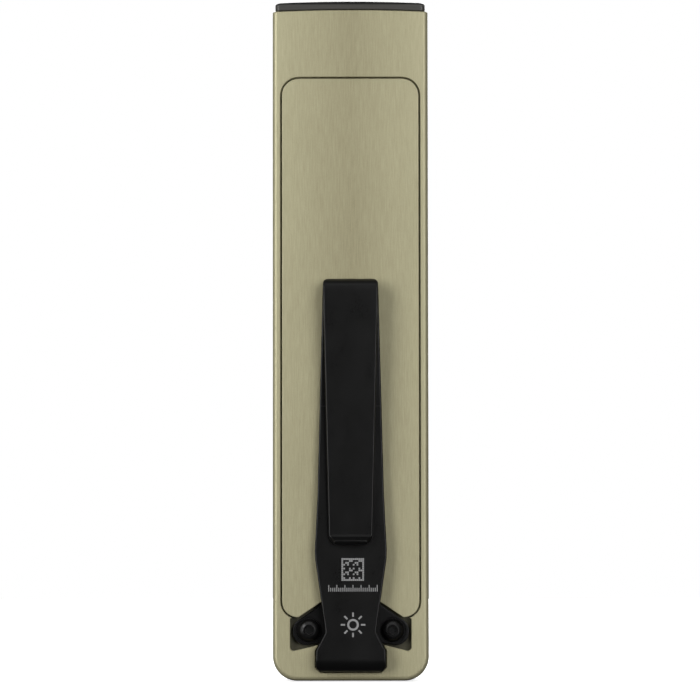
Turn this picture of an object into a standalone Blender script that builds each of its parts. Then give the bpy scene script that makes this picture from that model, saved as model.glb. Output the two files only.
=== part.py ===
"""A flat pocket flashlight with a selector dial, a push switch, a guide laser and a two-way pocket clip.

The origin is the centre of the tail contact's face. +Z runs to the head, the cover and the clip face -Y,
the dial faces +Y. Every size is in metres.
"""

import math

import bmesh
import bpy
from mathutils import Vector

MM = 0.001

# Body
BODY_WIDTH = 25.6 * MM
BODY_DEPTH = 15.4 * MM
BODY_LENGTH = 110.5 * MM
TAIL_CORNER = 4.0 * MM
EDGE_ROUND = 0.8 * MM
HEAD_EDGE_ROUND = 0.25 * MM
FACE_WALL = 1.5 * MM
SEAT_GAP = 0.12 * MM  # between faces that seat on each other
SLIP_GAP = 0.15 * MM  # round a piece that drops into a pocket

# Rear cover
COVER_THICKNESS = 1.2 * MM
COVER_GAP = 0.26 * MM
COVER_RIM = 0.47 * MM  # flat of the body left outside the cover's groove
COVER_CORNER = 2.8 * MM
COVER_TAIL = 10.4 * MM
COVER_HEAD_LAND = 2.1 * MM
NOTCH_FLAT = 3.0 * MM
NOTCH_ANGLE = math.radians(33.7)
GASKET = 0.2 * MM
LEDGE = 1.7 * MM

# Head
HEAD_POCKET_DEPTH = 9.3 * MM
BULKHEAD = 3.7 * MM
HEAD_POCKET_CORNER = 1.5 * MM
BEZEL_HEIGHT = 1.35 * MM
BEZEL_LIFT = 0.15 * MM
BEZEL_INSET = 0.43 * MM
BEZEL_RIM = 2.9 * MM  # width of the rim round the window
BEZEL_LIP = 1.0 * MM
BEZEL_EDGE = 0.35 * MM
WINDOW = 1.4 * MM
LASER_RADIUS = 3.0 * MM
LASER_APERTURE = 1.8 * MM
LED_SQUARE = 3.5 * MM
LENS_HEIGHT = 5.1 * MM

# Selector and switch
SELECTOR_DROP = 21.5 * MM  # from the head face down to the selector's centre
SELECTOR_STAND = 1.3 * MM  # how far the ring stands proud of the front
SELECTOR_SINK = 0.8 * MM
SELECTOR_PLAY = 0.3 * MM
SELECTOR_WIDTH = 2.95 * MM  # of the turning ring, from its bore to its rim
SCALLOPS = 18
HUB_WALL = 1.2 * MM
HUB_PLAY = 0.2 * MM
HUB_OVERLAP = 0.85 * MM  # of the hub's flange over the ring
DETENT_WIDTH = 1.2 * MM
BUTTON_RADIUS = 4.2 * MM
BUTTON_FLANGE = 0.55 * MM
BUTTON_TRAVEL = 0.5 * MM
BOARD_SINK = 5.1 * MM  # from the front face in to the driver board

# Boards and battery
BOARD = 1.0 * MM
BOARD_WIDTH = 18.6 * MM
BOARD_HEIGHT = 22.4 * MM
BATTERY_MARGIN = 2.7 * MM
BATTERY_BOARD_GAP = 3.0 * MM
LEAD_CHANNEL = 1.9 * MM
LEAD_RADIUS = 0.4 * MM
PAD = 0.8 * MM

# Tail
TAIL_PLATE = 1.4 * MM
TAIL_PLATE_SIDE = 3.85 * MM  # of the plate on each side of the contact
TAIL_PLATE_WALL = 2.5 * MM  # of the body in front of and behind the plate
RIB_STAND = 0.18 * MM
RIB_WIDTH = 3.0 * MM
RIB_ARC = math.radians(28)
TAIL_WALL = 0.93 * MM  # between the magnet's bore and the clip's pocket
MAGNET = 2.4 * MM
CONTACT_PIN = 1.6 * MM
CONTACT_RIM = 0.7 * MM

# Clip
CLIP_SHEET = 0.9 * MM
CLIP_SINK = 0.7 * MM
CLIP_TAIL = 1.5 * MM
CLIP_HEAD = 65.85 * MM
TAIL_BEND = 1.6 * MM
TOP_BEND = 1.35 * MM
ARM_TIP_GAP = 0.2 * MM
CREASE_GAP = 0.2 * MM
CREASE_HEIGHT = 24.1 * MM
LIP_BEND = 1.2 * MM
LIP_RUN = 0.9 * MM
LIP_ANGLE = math.radians(55)
SPRING_SLIT = 0.33 * MM  # left between the clip's pieces where it flexes
WAIST_HALF = 4.1 * MM
WAIST_HEIGHT = 7.8 * MM
HIP_HALF = 5.93 * MM
HIP_HEIGHT = 20.5 * MM
SHOULDER_HALF = 5.5 * MM
SHOULDER_HEIGHT = 30 * MM
ARM_TIP_HALF = 4.6 * MM
LIP_HALF = 3.6 * MM
THROAT_HALF = 5.85 * MM
THROAT_GAP = 0.15 * MM
EAR_REACH = 0.98 * MM  # of an ear past the foot of the cover's notch
EAR_GAP = 0.37 * MM
EAR_TOP_GAP = 0.4 * MM
CLIP_SCREW_INSET = 2.72 * MM  # from the end of an ear
CLIP_SCREW_Z = 8.25 * MM
CLIP_SCREW_HEAD = 1.9 * MM
CLIP_SCREW_SHAFT = 1.1 * MM
CLIP_SCREW_LENGTH = 5.2 * MM

# Where faces lie
FRONT = BODY_DEPTH / 2
REAR = -FRONT
FRONT_WALL = FRONT - FACE_WALL
RECESS_DEPTH = COVER_THICKNESS + GASKET + 2 * SEAT_GAP
POCKET_DEPTH = CLIP_SINK + CLIP_SHEET + SEAT_GAP
RECESS_HALF = BODY_WIDTH / 2 - EDGE_ROUND - COVER_RIM
COVER_HALF = RECESS_HALF - COVER_GAP
NOTCH_FOOT = COVER_HALF - COVER_CORNER + 0.13 * MM
NOTCH_TOP = COVER_TAIL + (NOTCH_FOOT - NOTCH_FLAT) * math.tan(NOTCH_ANGLE)
EAR_HALF = NOTCH_FOOT + EAR_REACH
CLIP_SCREW_X = EAR_HALF - CLIP_SCREW_INSET
HEAD_FLOOR = BODY_LENGTH - HEAD_POCKET_DEPTH
COVER_HEAD = HEAD_FLOOR - COVER_HEAD_LAND
CAVITY_HALF = RECESS_HALF - LEDGE
CAVITY_TAIL = NOTCH_TOP + 2.2 * MM
CAVITY_HEAD = HEAD_FLOOR - BULKHEAD
SELECTOR_Z = BODY_LENGTH - SELECTOR_DROP
SELECTOR_TOP = FRONT + SELECTOR_STAND
HUB_RADIUS = BUTTON_RADIUS + SLIP_GAP + HUB_WALL
SELECTOR_BORE = HUB_RADIUS + HUB_PLAY
SELECTOR_RADIUS = SELECTOR_BORE + SELECTOR_WIDTH
HUB_FLANGE = SELECTOR_BORE + HUB_OVERLAP
DETENT_PATH = HUB_FLANGE + DETENT_WIDTH / 2
BOARD_FRONT = FRONT - BOARD_SINK
BOARD_REAR = BOARD_FRONT - BOARD
BOARD_TAIL = SELECTOR_Z - 14.4 * MM
BATTERY_TAIL = CAVITY_TAIL + BATTERY_MARGIN
BATTERY_HEAD = BOARD_TAIL - BATTERY_BOARD_GAP
BATTERY_LEFT = -CAVITY_HALF + 0.33 * MM
BATTERY_RIGHT = CAVITY_HALF - LEAD_CHANNEL
CHANNEL_X = CAVITY_HALF - LEAD_CHANNEL / 2
HEAD_HALF_X = BODY_WIDTH / 2 - FACE_WALL
HEAD_HALF_Y = BODY_DEPTH / 2 - FACE_WALL
HOLDER_HALF_X = HEAD_HALF_X - SLIP_GAP
HOLDER_HALF_Y = HEAD_HALF_Y - SLIP_GAP
LENS_RADIUS = HOLDER_HALF_Y - 0.4 * MM - SLIP_GAP
LENS_X = -HOLDER_HALF_X + LENS_RADIUS + SLIP_GAP + 0.42 * MM
LASER_X = HOLDER_HALF_X - LASER_RADIUS - SLIP_GAP - 0.42 * MM
LED_BOARD_TAIL = HEAD_FLOOR + 0.3 * MM + 2 * SEAT_GAP
LENS_TAIL = LED_BOARD_TAIL + BOARD + 0.68 * MM
HOLDER_TAIL = LED_BOARD_TAIL + BOARD + 1.16 * MM
HOLDER_HEAD = BODY_LENGTH - 1.6 * MM
WINDOW_TAIL = HOLDER_HEAD + 0.2 * MM
WINDOW_HEAD = WINDOW_TAIL + WINDOW
BEZEL_TAIL = BODY_LENGTH + BEZEL_LIFT
BEZEL_HEAD = BEZEL_TAIL + BEZEL_HEIGHT
MAGNET_BORE = BODY_DEPTH / 2 - POCKET_DEPTH - TAIL_WALL
MAGNET_TAIL = TAIL_PLATE + SEAT_GAP
CHARGE_BOARD_TAIL = MAGNET_TAIL + MAGNET + SEAT_GAP
CHARGE_BOARD_HEAD = CHARGE_BOARD_TAIL + 0.8 * MM
BORE_HEAD = CHARGE_BOARD_HEAD + 0.4 * MM
CONTACT_HOLE = MAGNET_BORE - CONTACT_RIM
TAIL_BEND_Z = CLIP_TAIL + TAIL_BEND + CLIP_SHEET / 2
FOLD_Z = CLIP_HEAD - TOP_BEND - CLIP_SHEET / 2
BASE_OUT = -CLIP_SINK - CLIP_SHEET / 2
ARM_ROOT_OUT = BASE_OUT + 2 * TAIL_BEND
ARM_TIP_OUT = ARM_TIP_GAP + CLIP_SHEET / 2
ARM_LEAN = math.atan2(ARM_ROOT_OUT - ARM_TIP_OUT, FOLD_Z - TAIL_BEND_Z)

PAINTS = {  # colour, roughness, metallic
    "anodised": ((0.32, 0.29, 0.19), 0.42, 0.9),
    "black metal": ((0.012, 0.012, 0.012), 0.45, 0.6),
    "steel": ((0.55, 0.55, 0.56), 0.3, 1.0),
    "copper": ((0.8, 0.5, 0.25), 0.25, 1.0),
    "black plastic": ((0.02, 0.02, 0.02), 0.6, 0.0),
    "white plastic": ((0.8, 0.8, 0.78), 0.5, 0.0),
    "clear plastic": ((0.9, 0.92, 0.93), 0.05, 0.0),
    "glass": ((0.85, 0.9, 0.92), 0.03, 0.0),
    "rubber": ((0.03, 0.03, 0.03), 0.85, 0.0),
    "foam": ((0.15, 0.15, 0.16), 0.95, 0.0),
    "board": ((0.02, 0.12, 0.05), 0.5, 0.0),
    "foil": ((0.5, 0.52, 0.55), 0.35, 0.8),
    "red wire": ((0.5, 0.02, 0.02), 0.5, 0.0),
    "black wire": ((0.03, 0.03, 0.03), 0.5, 0.0),
}
TURNS = {"X": (math.pi / 2, 0, math.pi / 2), "Y": (math.pi / 2, 0, 0), "Z": (0, 0, 0)}
WAYS = {"X": Vector((1, 0, 0)), "Y": Vector((0, 1, 0)), "Z": Vector((0, 0, 1))}
FRONTWARD = (-math.pi / 2, 0, 0)
REARWARD = (math.pi / 2, 0, 0)
ARC_STEP = math.radians(16)
ROUTE_STEPS = 4  # points from one route point of a lead to the next
ROUND_SIDES = 32
SMALL_SIDES = 14


def clear_scene():
    for thing in list(bpy.data.objects):
        bpy.data.objects.remove(thing, do_unlink=True)


def new_collection(name):
    collection = bpy.data.collections.new(name)
    bpy.context.scene.collection.children.link(collection)
    return collection


def add(name, data, paint):
    """Link the data as a part with its own material, or as a hidden cutter when it has no paint."""
    thing = bpy.data.objects.new(name, data)
    if paint is None:
        cutters.objects.link(thing)
        thing.hide_render = True
        thing.display_type = "WIRE"
        return thing
    parts.objects.link(thing)
    colour, roughness, metallic = PAINTS[paint]
    material = bpy.data.materials.new(name)
    material.use_nodes = True
    shader = material.node_tree.nodes["Principled BSDF"]
    shader.inputs["Base Color"].default_value = (*colour, 1)
    shader.inputs["Roughness"].default_value = roughness
    shader.inputs["Metallic"].default_value = metallic
    material.diffuse_color = (*colour, 1)
    data.materials.append(material)
    return thing


def rounded_outline(corners):
    """Points round a closed outline whose corners are (across, up, radius)."""
    points = []
    for index, (across, up, radius) in enumerate(corners):
        corner = Vector((across, up))
        if not radius:
            points.append(corner)
            continue
        back = (Vector(corners[index - 1][:2]) - corner).normalized()
        ahead = (Vector(corners[(index + 1) % len(corners)][:2]) - corner).normalized()
        half_angle = back.angle(ahead) / 2
        centre = corner + (back + ahead).normalized() * radius / math.sin(half_angle)
        start = corner + back * radius / math.tan(half_angle) - centre
        end = corner + ahead * radius / math.tan(half_angle) - centre
        first = math.atan2(start.y, start.x)
        turn = (math.atan2(end.y, end.x) - first + math.pi) % (2 * math.pi) - math.pi
        steps = max(2, math.ceil(abs(turn) / ARC_STEP))
        for step in range(steps + 1):
            angle = first + turn * step / steps
            points.append(centre + radius * Vector((math.cos(angle), math.sin(angle))))
    return points


def mirrored(half):
    return half + [(-across, up, radius) for across, up, radius in reversed(half)]


def box_outline(left, right, low, high, radius=0):
    corners = [(left, low), (right, low), (right, high), (left, high)]
    return rounded_outline([(*corner, radius) for corner in corners])


def circle(radius, centre=(0, 0), sides=ROUND_SIDES):
    return arc(radius, 0, 2 * math.pi * (1 - 1 / sides), sides - 1, centre)


def arc(radius, first, last, steps, centre=(0, 0)):
    angles = [first + (last - first) * step / steps for step in range(steps + 1)]
    return [Vector(centre) + radius * Vector((math.cos(a), math.sin(a))) for a in angles]


def plate(name, outlines, low, high, along, paint=None):
    """Flat outlines, the outer one first, extruded from low to high along an axis."""
    curve = bpy.data.curves.new(name, "CURVE")
    curve.dimensions = "2D"
    curve.fill_mode = "BOTH"
    curve.extrude = (high - low) / 2
    for points in outlines:
        spline = curve.splines.new("POLY")
        spline.points.add(len(points) - 1)
        for point, (across, up) in zip(spline.points, points):
            point.co = (across, up, 0, 1)
        spline.use_cyclic_u = True
    flat = bpy.data.objects.new(name, curve)
    bpy.context.scene.collection.objects.link(flat)
    graph = bpy.context.evaluated_depsgraph_get()
    mesh = bpy.data.meshes.new_from_object(flat.evaluated_get(graph))
    bpy.data.objects.remove(flat)
    bpy.data.curves.remove(curve)
    shape = bmesh.new()
    shape.from_mesh(mesh)
    bmesh.ops.remove_doubles(shape, verts=shape.verts, dist=1e-6)
    bmesh.ops.dissolve_limit(shape, angle_limit=math.radians(0.05), verts=shape.verts, edges=shape.edges)
    bmesh.ops.recalc_face_normals(shape, faces=shape.faces)
    shape.to_mesh(mesh)
    shape.free()
    mesh.name = name
    solid = add(name, mesh, paint)
    solid.rotation_euler = TURNS[along]
    solid.location = WAYS[along] * (low + high) / 2
    return solid


def block(name, low, high, paint=None):
    """A box between two corners."""
    low, high = Vector(low), Vector(high)
    shape = bmesh.new()
    bmesh.ops.create_cube(shape, size=1)
    bmesh.ops.scale(shape, vec=high - low, verts=shape.verts)
    mesh = bpy.data.meshes.new(name)
    shape.to_mesh(mesh)
    shape.free()
    solid = add(name, mesh, paint)
    solid.location = (low + high) / 2
    return solid


def rod(name, radius, low, high, along, centre=(0, 0), paint=None, sides=ROUND_SIDES):
    """A cylinder from low to high along an axis. The centre is given in the plane across it."""
    shape = bmesh.new()
    bmesh.ops.create_cone(
        shape, cap_ends=True, segments=sides, radius1=radius, radius2=radius, depth=high - low
    )
    mesh = bpy.data.meshes.new(name)
    shape.to_mesh(mesh)
    shape.free()
    mesh.shade_smooth()
    mesh.set_sharp_from_angle(angle=math.radians(40))
    solid = add(name, mesh, paint)
    solid.rotation_euler = TURNS[along]
    across, up = centre
    places = {"X": (0, across, up), "Y": (across, 0, up), "Z": (across, up, 0)}
    solid.location = Vector(places[along]) + WAYS[along] * (low + high) / 2
    return solid


def turned(name, profile, place, facing, paint=None, closed=False, sides=ROUND_SIDES):
    """A profile of (radius, height) turned round its axis. It runs down its outer side."""
    mesh = bpy.data.meshes.new(name)
    edges = [(index, index + 1) for index in range(len(profile) - 1)]
    if closed:
        edges.append((len(profile) - 1, 0))
    mesh.from_pydata([(radius, 0, height) for radius, height in profile], edges, [])
    solid = add(name, mesh, paint)
    solid.location = place
    solid.rotation_euler = facing
    screw = solid.modifiers.new("Turn", "SCREW")
    screw.steps = screw.render_steps = sides
    screw.use_merge_vertices = True
    screw.merge_threshold = 1e-6
    screw.use_smooth_shade = True
    return solid


def bevel(target, width, segments, angle):
    rounding = target.modifiers.new("Round", "BEVEL")
    rounding.width = width
    rounding.segments = segments
    rounding.limit_method = "ANGLE"
    rounding.angle_limit = math.radians(angle)


def boolean(target, other, operation):
    change = target.modifiers.new(other.name, "BOOLEAN")
    change.operation = operation
    change.solver = "EXACT"
    change.object = other


def cut(target, *others):
    for other in others:
        boolean(target, other, "DIFFERENCE")


def join(target, *others):
    for other in others:
        boolean(target, other, "UNION")


def pivot(name, place):
    empty = bpy.data.objects.new(name, None)
    empty.location = place
    parts.objects.link(empty)
    return empty


def hang(axis, *things):
    """Parent things to an axis empty without moving them."""
    for thing in things:
        thing.parent = axis
        thing.matrix_parent_inverse.translation = -axis.location


def cover_outline(margin):
    """The rear cover's outline, grown by a margin."""
    half = COVER_HALF + margin
    shift = margin * math.tan(NOTCH_ANGLE / 2)
    foot = NOTCH_FOOT - shift
    corner = COVER_CORNER + margin
    tail_corner = min(corner, half - foot - 0.01 * MM)
    return rounded_outline(
        mirrored(
            [
                (NOTCH_FLAT - shift, NOTCH_TOP - margin, 0),
                (foot, COVER_TAIL - margin, 0),
                (half, COVER_TAIL - margin, tail_corner),
                (half, COVER_HEAD + margin, corner),
            ]
        )
    )


def cavity_outline(margin):
    half = CAVITY_HALF + margin
    return box_outline(-half, half, CAVITY_TAIL - margin, CAVITY_HEAD + margin, 2 * MM + margin)


def notch_height(across, margin):
    """Height of the notch's sloping edge, moved towards the tail by a margin."""
    return COVER_TAIL + (NOTCH_FOOT - across) * math.tan(NOTCH_ANGLE) - margin / math.cos(NOTCH_ANGLE)


def pocket_outline():
    """The clip's pocket in the rear face: a throat at the tail that widens round the two ears."""
    side = EAR_HALF + EAR_GAP
    overlap = 0.1 * MM  # the pocket runs this far past the cover's edge, inside its recess
    chamfer = 0.85 * MM
    tail = CLIP_TAIL - 0.16 * MM
    shoulder = 5.9 * MM
    half = [
        (THROAT_HALF - chamfer, tail, 0),
        (THROAT_HALF, tail + chamfer, 0),
        (THROAT_HALF, shoulder - 0.95 * MM, 0),
        (THROAT_HALF - 0.6 * MM, shoulder, 0),
        (side, shoulder - 1.15 * MM, 0.6 * MM),
        (side, notch_height(side, -overlap) + 0.6 * MM, 0.3 * MM),
        (NOTCH_FOOT, COVER_TAIL + overlap, 0),
        (NOTCH_FLAT, NOTCH_TOP + overlap, 0),
    ]
    return rounded_outline(mirrored(half))


def make_body():
    half = BODY_WIDTH / 2
    spare = 2 * EDGE_ROUND
    slab = rounded_outline(
        [
            (-half, 0, TAIL_CORNER),
            (half, 0, TAIL_CORNER),
            (half, BODY_LENGTH + spare, 0),
            (-half, BODY_LENGTH + spare, 0),
        ]
    )
    body = plate("body_shell", [slab], REAR, FRONT, "Y", "anodised")
    bevel(body, EDGE_ROUND, 3, 50)
    past = 1 * MM  # how far cutters run past the face that they open
    cut(
        body,
        block(
            "head_trim", (-2 * half, 2 * REAR, BODY_LENGTH), (2 * half, 2 * FRONT, BODY_LENGTH + 2 * spare)
        ),
    )
    bevel(body, HEAD_EDGE_ROUND, 1, 60)
    recess_floor = REAR + RECESS_DEPTH
    cut(
        body,
        plate("cover_recess", [cover_outline(COVER_GAP)], REAR - past, recess_floor, "Y"),
        plate("cell_cavity", [cavity_outline(0)], REAR + past, FRONT_WALL, "Y"),
        plate("clip_pocket", [pocket_outline()], REAR - past, REAR + POCKET_DEPTH, "Y"),
        plate(
            "head_pocket",
            [box_outline(-HEAD_HALF_X, HEAD_HALF_X, -HEAD_HALF_Y, HEAD_HALF_Y, HEAD_POCKET_CORNER)],
            HEAD_FLOOR,
            BODY_LENGTH + past,
            "Z",
        ),
        rod(
            "laser_bore",
            LASER_RADIUS + SEAT_GAP,
            CAVITY_HEAD - past,
            HEAD_FLOOR + past,
            "Z",
            (LASER_X, 0),
            sides=SMALL_SIDES,
        ),
        rod(
            "led_lead_hole",
            1.3 * MM,
            CAVITY_HEAD - past,
            HEAD_FLOOR + past,
            "Z",
            led_lead_place(),
            sides=SMALL_SIDES,
        ),
        rod(
            "selector_sink",
            SELECTOR_RADIUS + SELECTOR_PLAY,
            FRONT - SELECTOR_SINK,
            FRONT + past,
            "Y",
            (0, SELECTOR_Z),
            sides=48,
        ),
        rod("hub_hole", SELECTOR_BORE, FRONT_WALL - past, FRONT + past, "Y", (0, SELECTOR_Z)),
        plate(
            "indicator_slot",
            [indicator_outline(0)],
            FRONT_WALL - past,
            FRONT + past,
            "Y",
        ),
        plate(
            "tail_recess",
            [tail_outline(SEAT_GAP)],
            -past,
            TAIL_PLATE + SEAT_GAP,
            "Z",
        ),
        rod("magnet_bore", MAGNET_BORE, past, BORE_HEAD, "Z"),
        rod("cable_hole", 1.5 * MM, BORE_HEAD - past, CAVITY_TAIL + past, "Z", sides=SMALL_SIDES),
    )
    for side in (-1, 1):
        screw_hole = rod(
            f"clip_screw_hole_{side}",
            CLIP_SCREW_SHAFT + SLIP_GAP,
            REAR + past,
            REAR + CLIP_SINK + CLIP_SCREW_LENGTH + 0.3 * MM,
            "Y",
            (side * CLIP_SCREW_X, CLIP_SCREW_Z),
            sides=SMALL_SIDES,
        )
        cut(body, screw_hole)
    for index, place in enumerate(board_screw_places(), 1):
        boss = rod(
            f"board_boss_{index}",
            1.35 * MM,
            BOARD_FRONT + SEAT_GAP,
            FRONT_WALL + 0.5 * MM,
            "Y",
            place,
            sides=SMALL_SIDES,
        )
        hole = rod(
            f"board_boss_hole_{index}",
            0.7 * MM,
            BOARD_FRONT - past,
            FRONT_WALL + 0.3 * MM,
            "Y",
            place,
            sides=10,
        )
        join(body, boss)
        cut(body, hole)


def make_cover():
    cover_floor = REAR + COVER_THICKNESS
    plate("rear_cover", [cover_outline(0)], REAR, cover_floor, "Y", "anodised")
    plate(
        "cover_gasket",
        [cover_outline(-SLIP_GAP), cavity_outline(SLIP_GAP)],
        cover_floor + SEAT_GAP,
        cover_floor + SEAT_GAP + GASKET,
        "Y",
        "rubber",
    )


def led_lead_place():
    return (-CAVITY_HALF + 2.6 * MM, -HEAD_HALF_Y + 1.8 * MM)


def make_head():
    corner = HEAD_POCKET_CORNER - SLIP_GAP
    laser_left = LASER_X - LASER_RADIUS - SLIP_GAP
    board_outline = box_outline(
        -HEAD_HALF_X + 0.4 * MM,
        laser_left - 1.1 * MM,
        -HEAD_HALF_Y + 0.4 * MM,
        HEAD_HALF_Y - 0.4 * MM,
        0.8 * MM,
    )
    pad = plate("thermal_pad", [board_outline], HEAD_FLOOR + SEAT_GAP, LED_BOARD_TAIL - SEAT_GAP, "Z", "foam")
    board = plate("led_board", [board_outline], LED_BOARD_TAIL, LED_BOARD_TAIL + BOARD, "Z", "board")
    hole = rod(
        "led_board_hole", 1.2 * MM, HEAD_FLOOR, HOLDER_HEAD, "Z", led_lead_place(), sides=SMALL_SIDES
    )
    cut(pad, hole)
    cut(board, hole)

    emitter_tail = LED_BOARD_TAIL + BOARD + SEAT_GAP
    half = LED_SQUARE / 2
    emitter = block(
        "led_emitter",
        (LENS_X - half, -half, emitter_tail),
        (LENS_X + half, half, emitter_tail + 0.45 * MM),
        "white plastic",
    )
    dome = [(0, 1.5), (0.75, 1.3), (1.25, 0.8), (1.3, 0.2), (0, 0.2)]
    join(
        emitter,
        turned(
            "led_dome",
            [(radius * MM, height * MM) for radius, height in dome],
            (LENS_X, 0, emitter_tail),
            (0, 0, 0),
            sides=SMALL_SIDES,
        ),
    )
    rim = 1.0 * MM
    turned(
        "beam_lens",
        [
            (0, LENS_HEIGHT),
            (LENS_RADIUS, LENS_HEIGHT),
            (LENS_RADIUS, LENS_HEIGHT - rim),
            (0.82 * LENS_RADIUS, 0.48 * LENS_HEIGHT),
            (2.6 * MM, 0),
            (1.9 * MM, 0),
            (1.75 * MM, 1.9 * MM),
            (0, 2.1 * MM),
        ],
        (LENS_X, 0, LENS_TAIL),
        (0, 0, 0),
        "clear plastic",
    )
    holder = plate(
        "optic_holder",
        [box_outline(-HOLDER_HALF_X, HOLDER_HALF_X, -HOLDER_HALF_Y, HOLDER_HALF_Y, corner)],
        HOLDER_TAIL,
        HOLDER_HEAD,
        "Z",
        "black plastic",
    )
    face = 0.78 * MM
    cut(
        holder,
        rod("lens_bore", LENS_RADIUS + SLIP_GAP, HOLDER_TAIL - MM, HOLDER_HEAD + MM, "Z", (LENS_X, 0)),
        rod(
            "holder_laser_bore",
            LASER_RADIUS + SLIP_GAP,
            HOLDER_TAIL - MM,
            HOLDER_HEAD - face,
            "Z",
            (LASER_X, 0),
            sides=SMALL_SIDES,
        ),
        rod(
            "laser_aperture",
            LASER_APERTURE,
            HOLDER_TAIL,
            HOLDER_HEAD + MM,
            "Z",
            (LASER_X, 0),
            sides=SMALL_SIDES,
        ),
    )
    barrel_head = HOLDER_HEAD - face - SEAT_GAP
    rod(
        "laser_barrel",
        LASER_RADIUS,
        CAVITY_HEAD + 0.2 * MM,
        barrel_head,
        "Z",
        (LASER_X, 0),
        "copper",
        SMALL_SIDES,
    )
    rod(
        "laser_lens",
        LASER_APERTURE - 0.2 * MM,
        barrel_head + SEAT_GAP,
        HOLDER_HEAD - 0.1 * MM,
        "Z",
        (LASER_X, 0),
        "glass",
        SMALL_SIDES,
    )

    spigot_x = HEAD_HALF_X - 0.1 * MM
    spigot_y = HEAD_HALF_Y - 0.1 * MM
    wall_x, wall_y = 0.55 * MM, 0.35 * MM
    glass_x = spigot_x - wall_x - SLIP_GAP
    glass_y = spigot_y - wall_y - SLIP_GAP
    plate(
        "window_glass",
        [box_outline(-glass_x, glass_x, -glass_y, glass_y, 1.0 * MM)],
        WINDOW_TAIL,
        WINDOW_HEAD,
        "Z",
        "glass",
    )
    open_x = BODY_WIDTH / 2 - BEZEL_INSET - BEZEL_RIM
    open_y = BODY_DEPTH / 2 - BEZEL_INSET - BEZEL_RIM + 0.2 * MM
    lip_tail = BEZEL_HEAD - BEZEL_LIP
    seal_width = 0.2 * MM
    plate(
        "window_seal",
        [
            box_outline(-glass_x, glass_x, -glass_y, glass_y, 1.0 * MM),
            box_outline(
                -open_x - seal_width, open_x + seal_width, -open_y - seal_width, open_y + seal_width, 0.9 * MM
            ),
        ],
        WINDOW_HEAD + 0.1 * MM,
        lip_tail - 0.1 * MM,
        "Z",
        "rubber",
    )
    flange_x = BODY_WIDTH / 2 - BEZEL_INSET
    flange_y = BODY_DEPTH / 2 - BEZEL_INSET
    bezel = plate(
        "bezel",
        [box_outline(-flange_x, flange_x, -flange_y, flange_y, 0.75 * MM)],
        BEZEL_TAIL,
        BEZEL_HEAD,
        "Z",
        "black metal",
    )
    bevel(bezel, BEZEL_EDGE, 2, 60)
    join(
        bezel,
        plate(
            "bezel_spigot",
            [box_outline(-spigot_x, spigot_x, -spigot_y, spigot_y, corner)],
            HOLDER_HEAD + 0.1 * MM,
            BEZEL_TAIL + 0.4 * MM,
            "Z",
        ),
    )
    inner_x, inner_y = spigot_x - wall_x, spigot_y - wall_y
    cut(
        bezel,
        plate(
            "bezel_bore",
            [box_outline(-inner_x, inner_x, -inner_y, inner_y, corner - wall_y)],
            HOLDER_HEAD - MM,
            lip_tail,
            "Z",
        ),
        plate(
            "bezel_opening",
            [box_outline(-open_x, open_x, -open_y, open_y, 1.2 * MM)],
            HOLDER_HEAD,
            BEZEL_HEAD + MM,
            "Z",
        ),
    )


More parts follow.
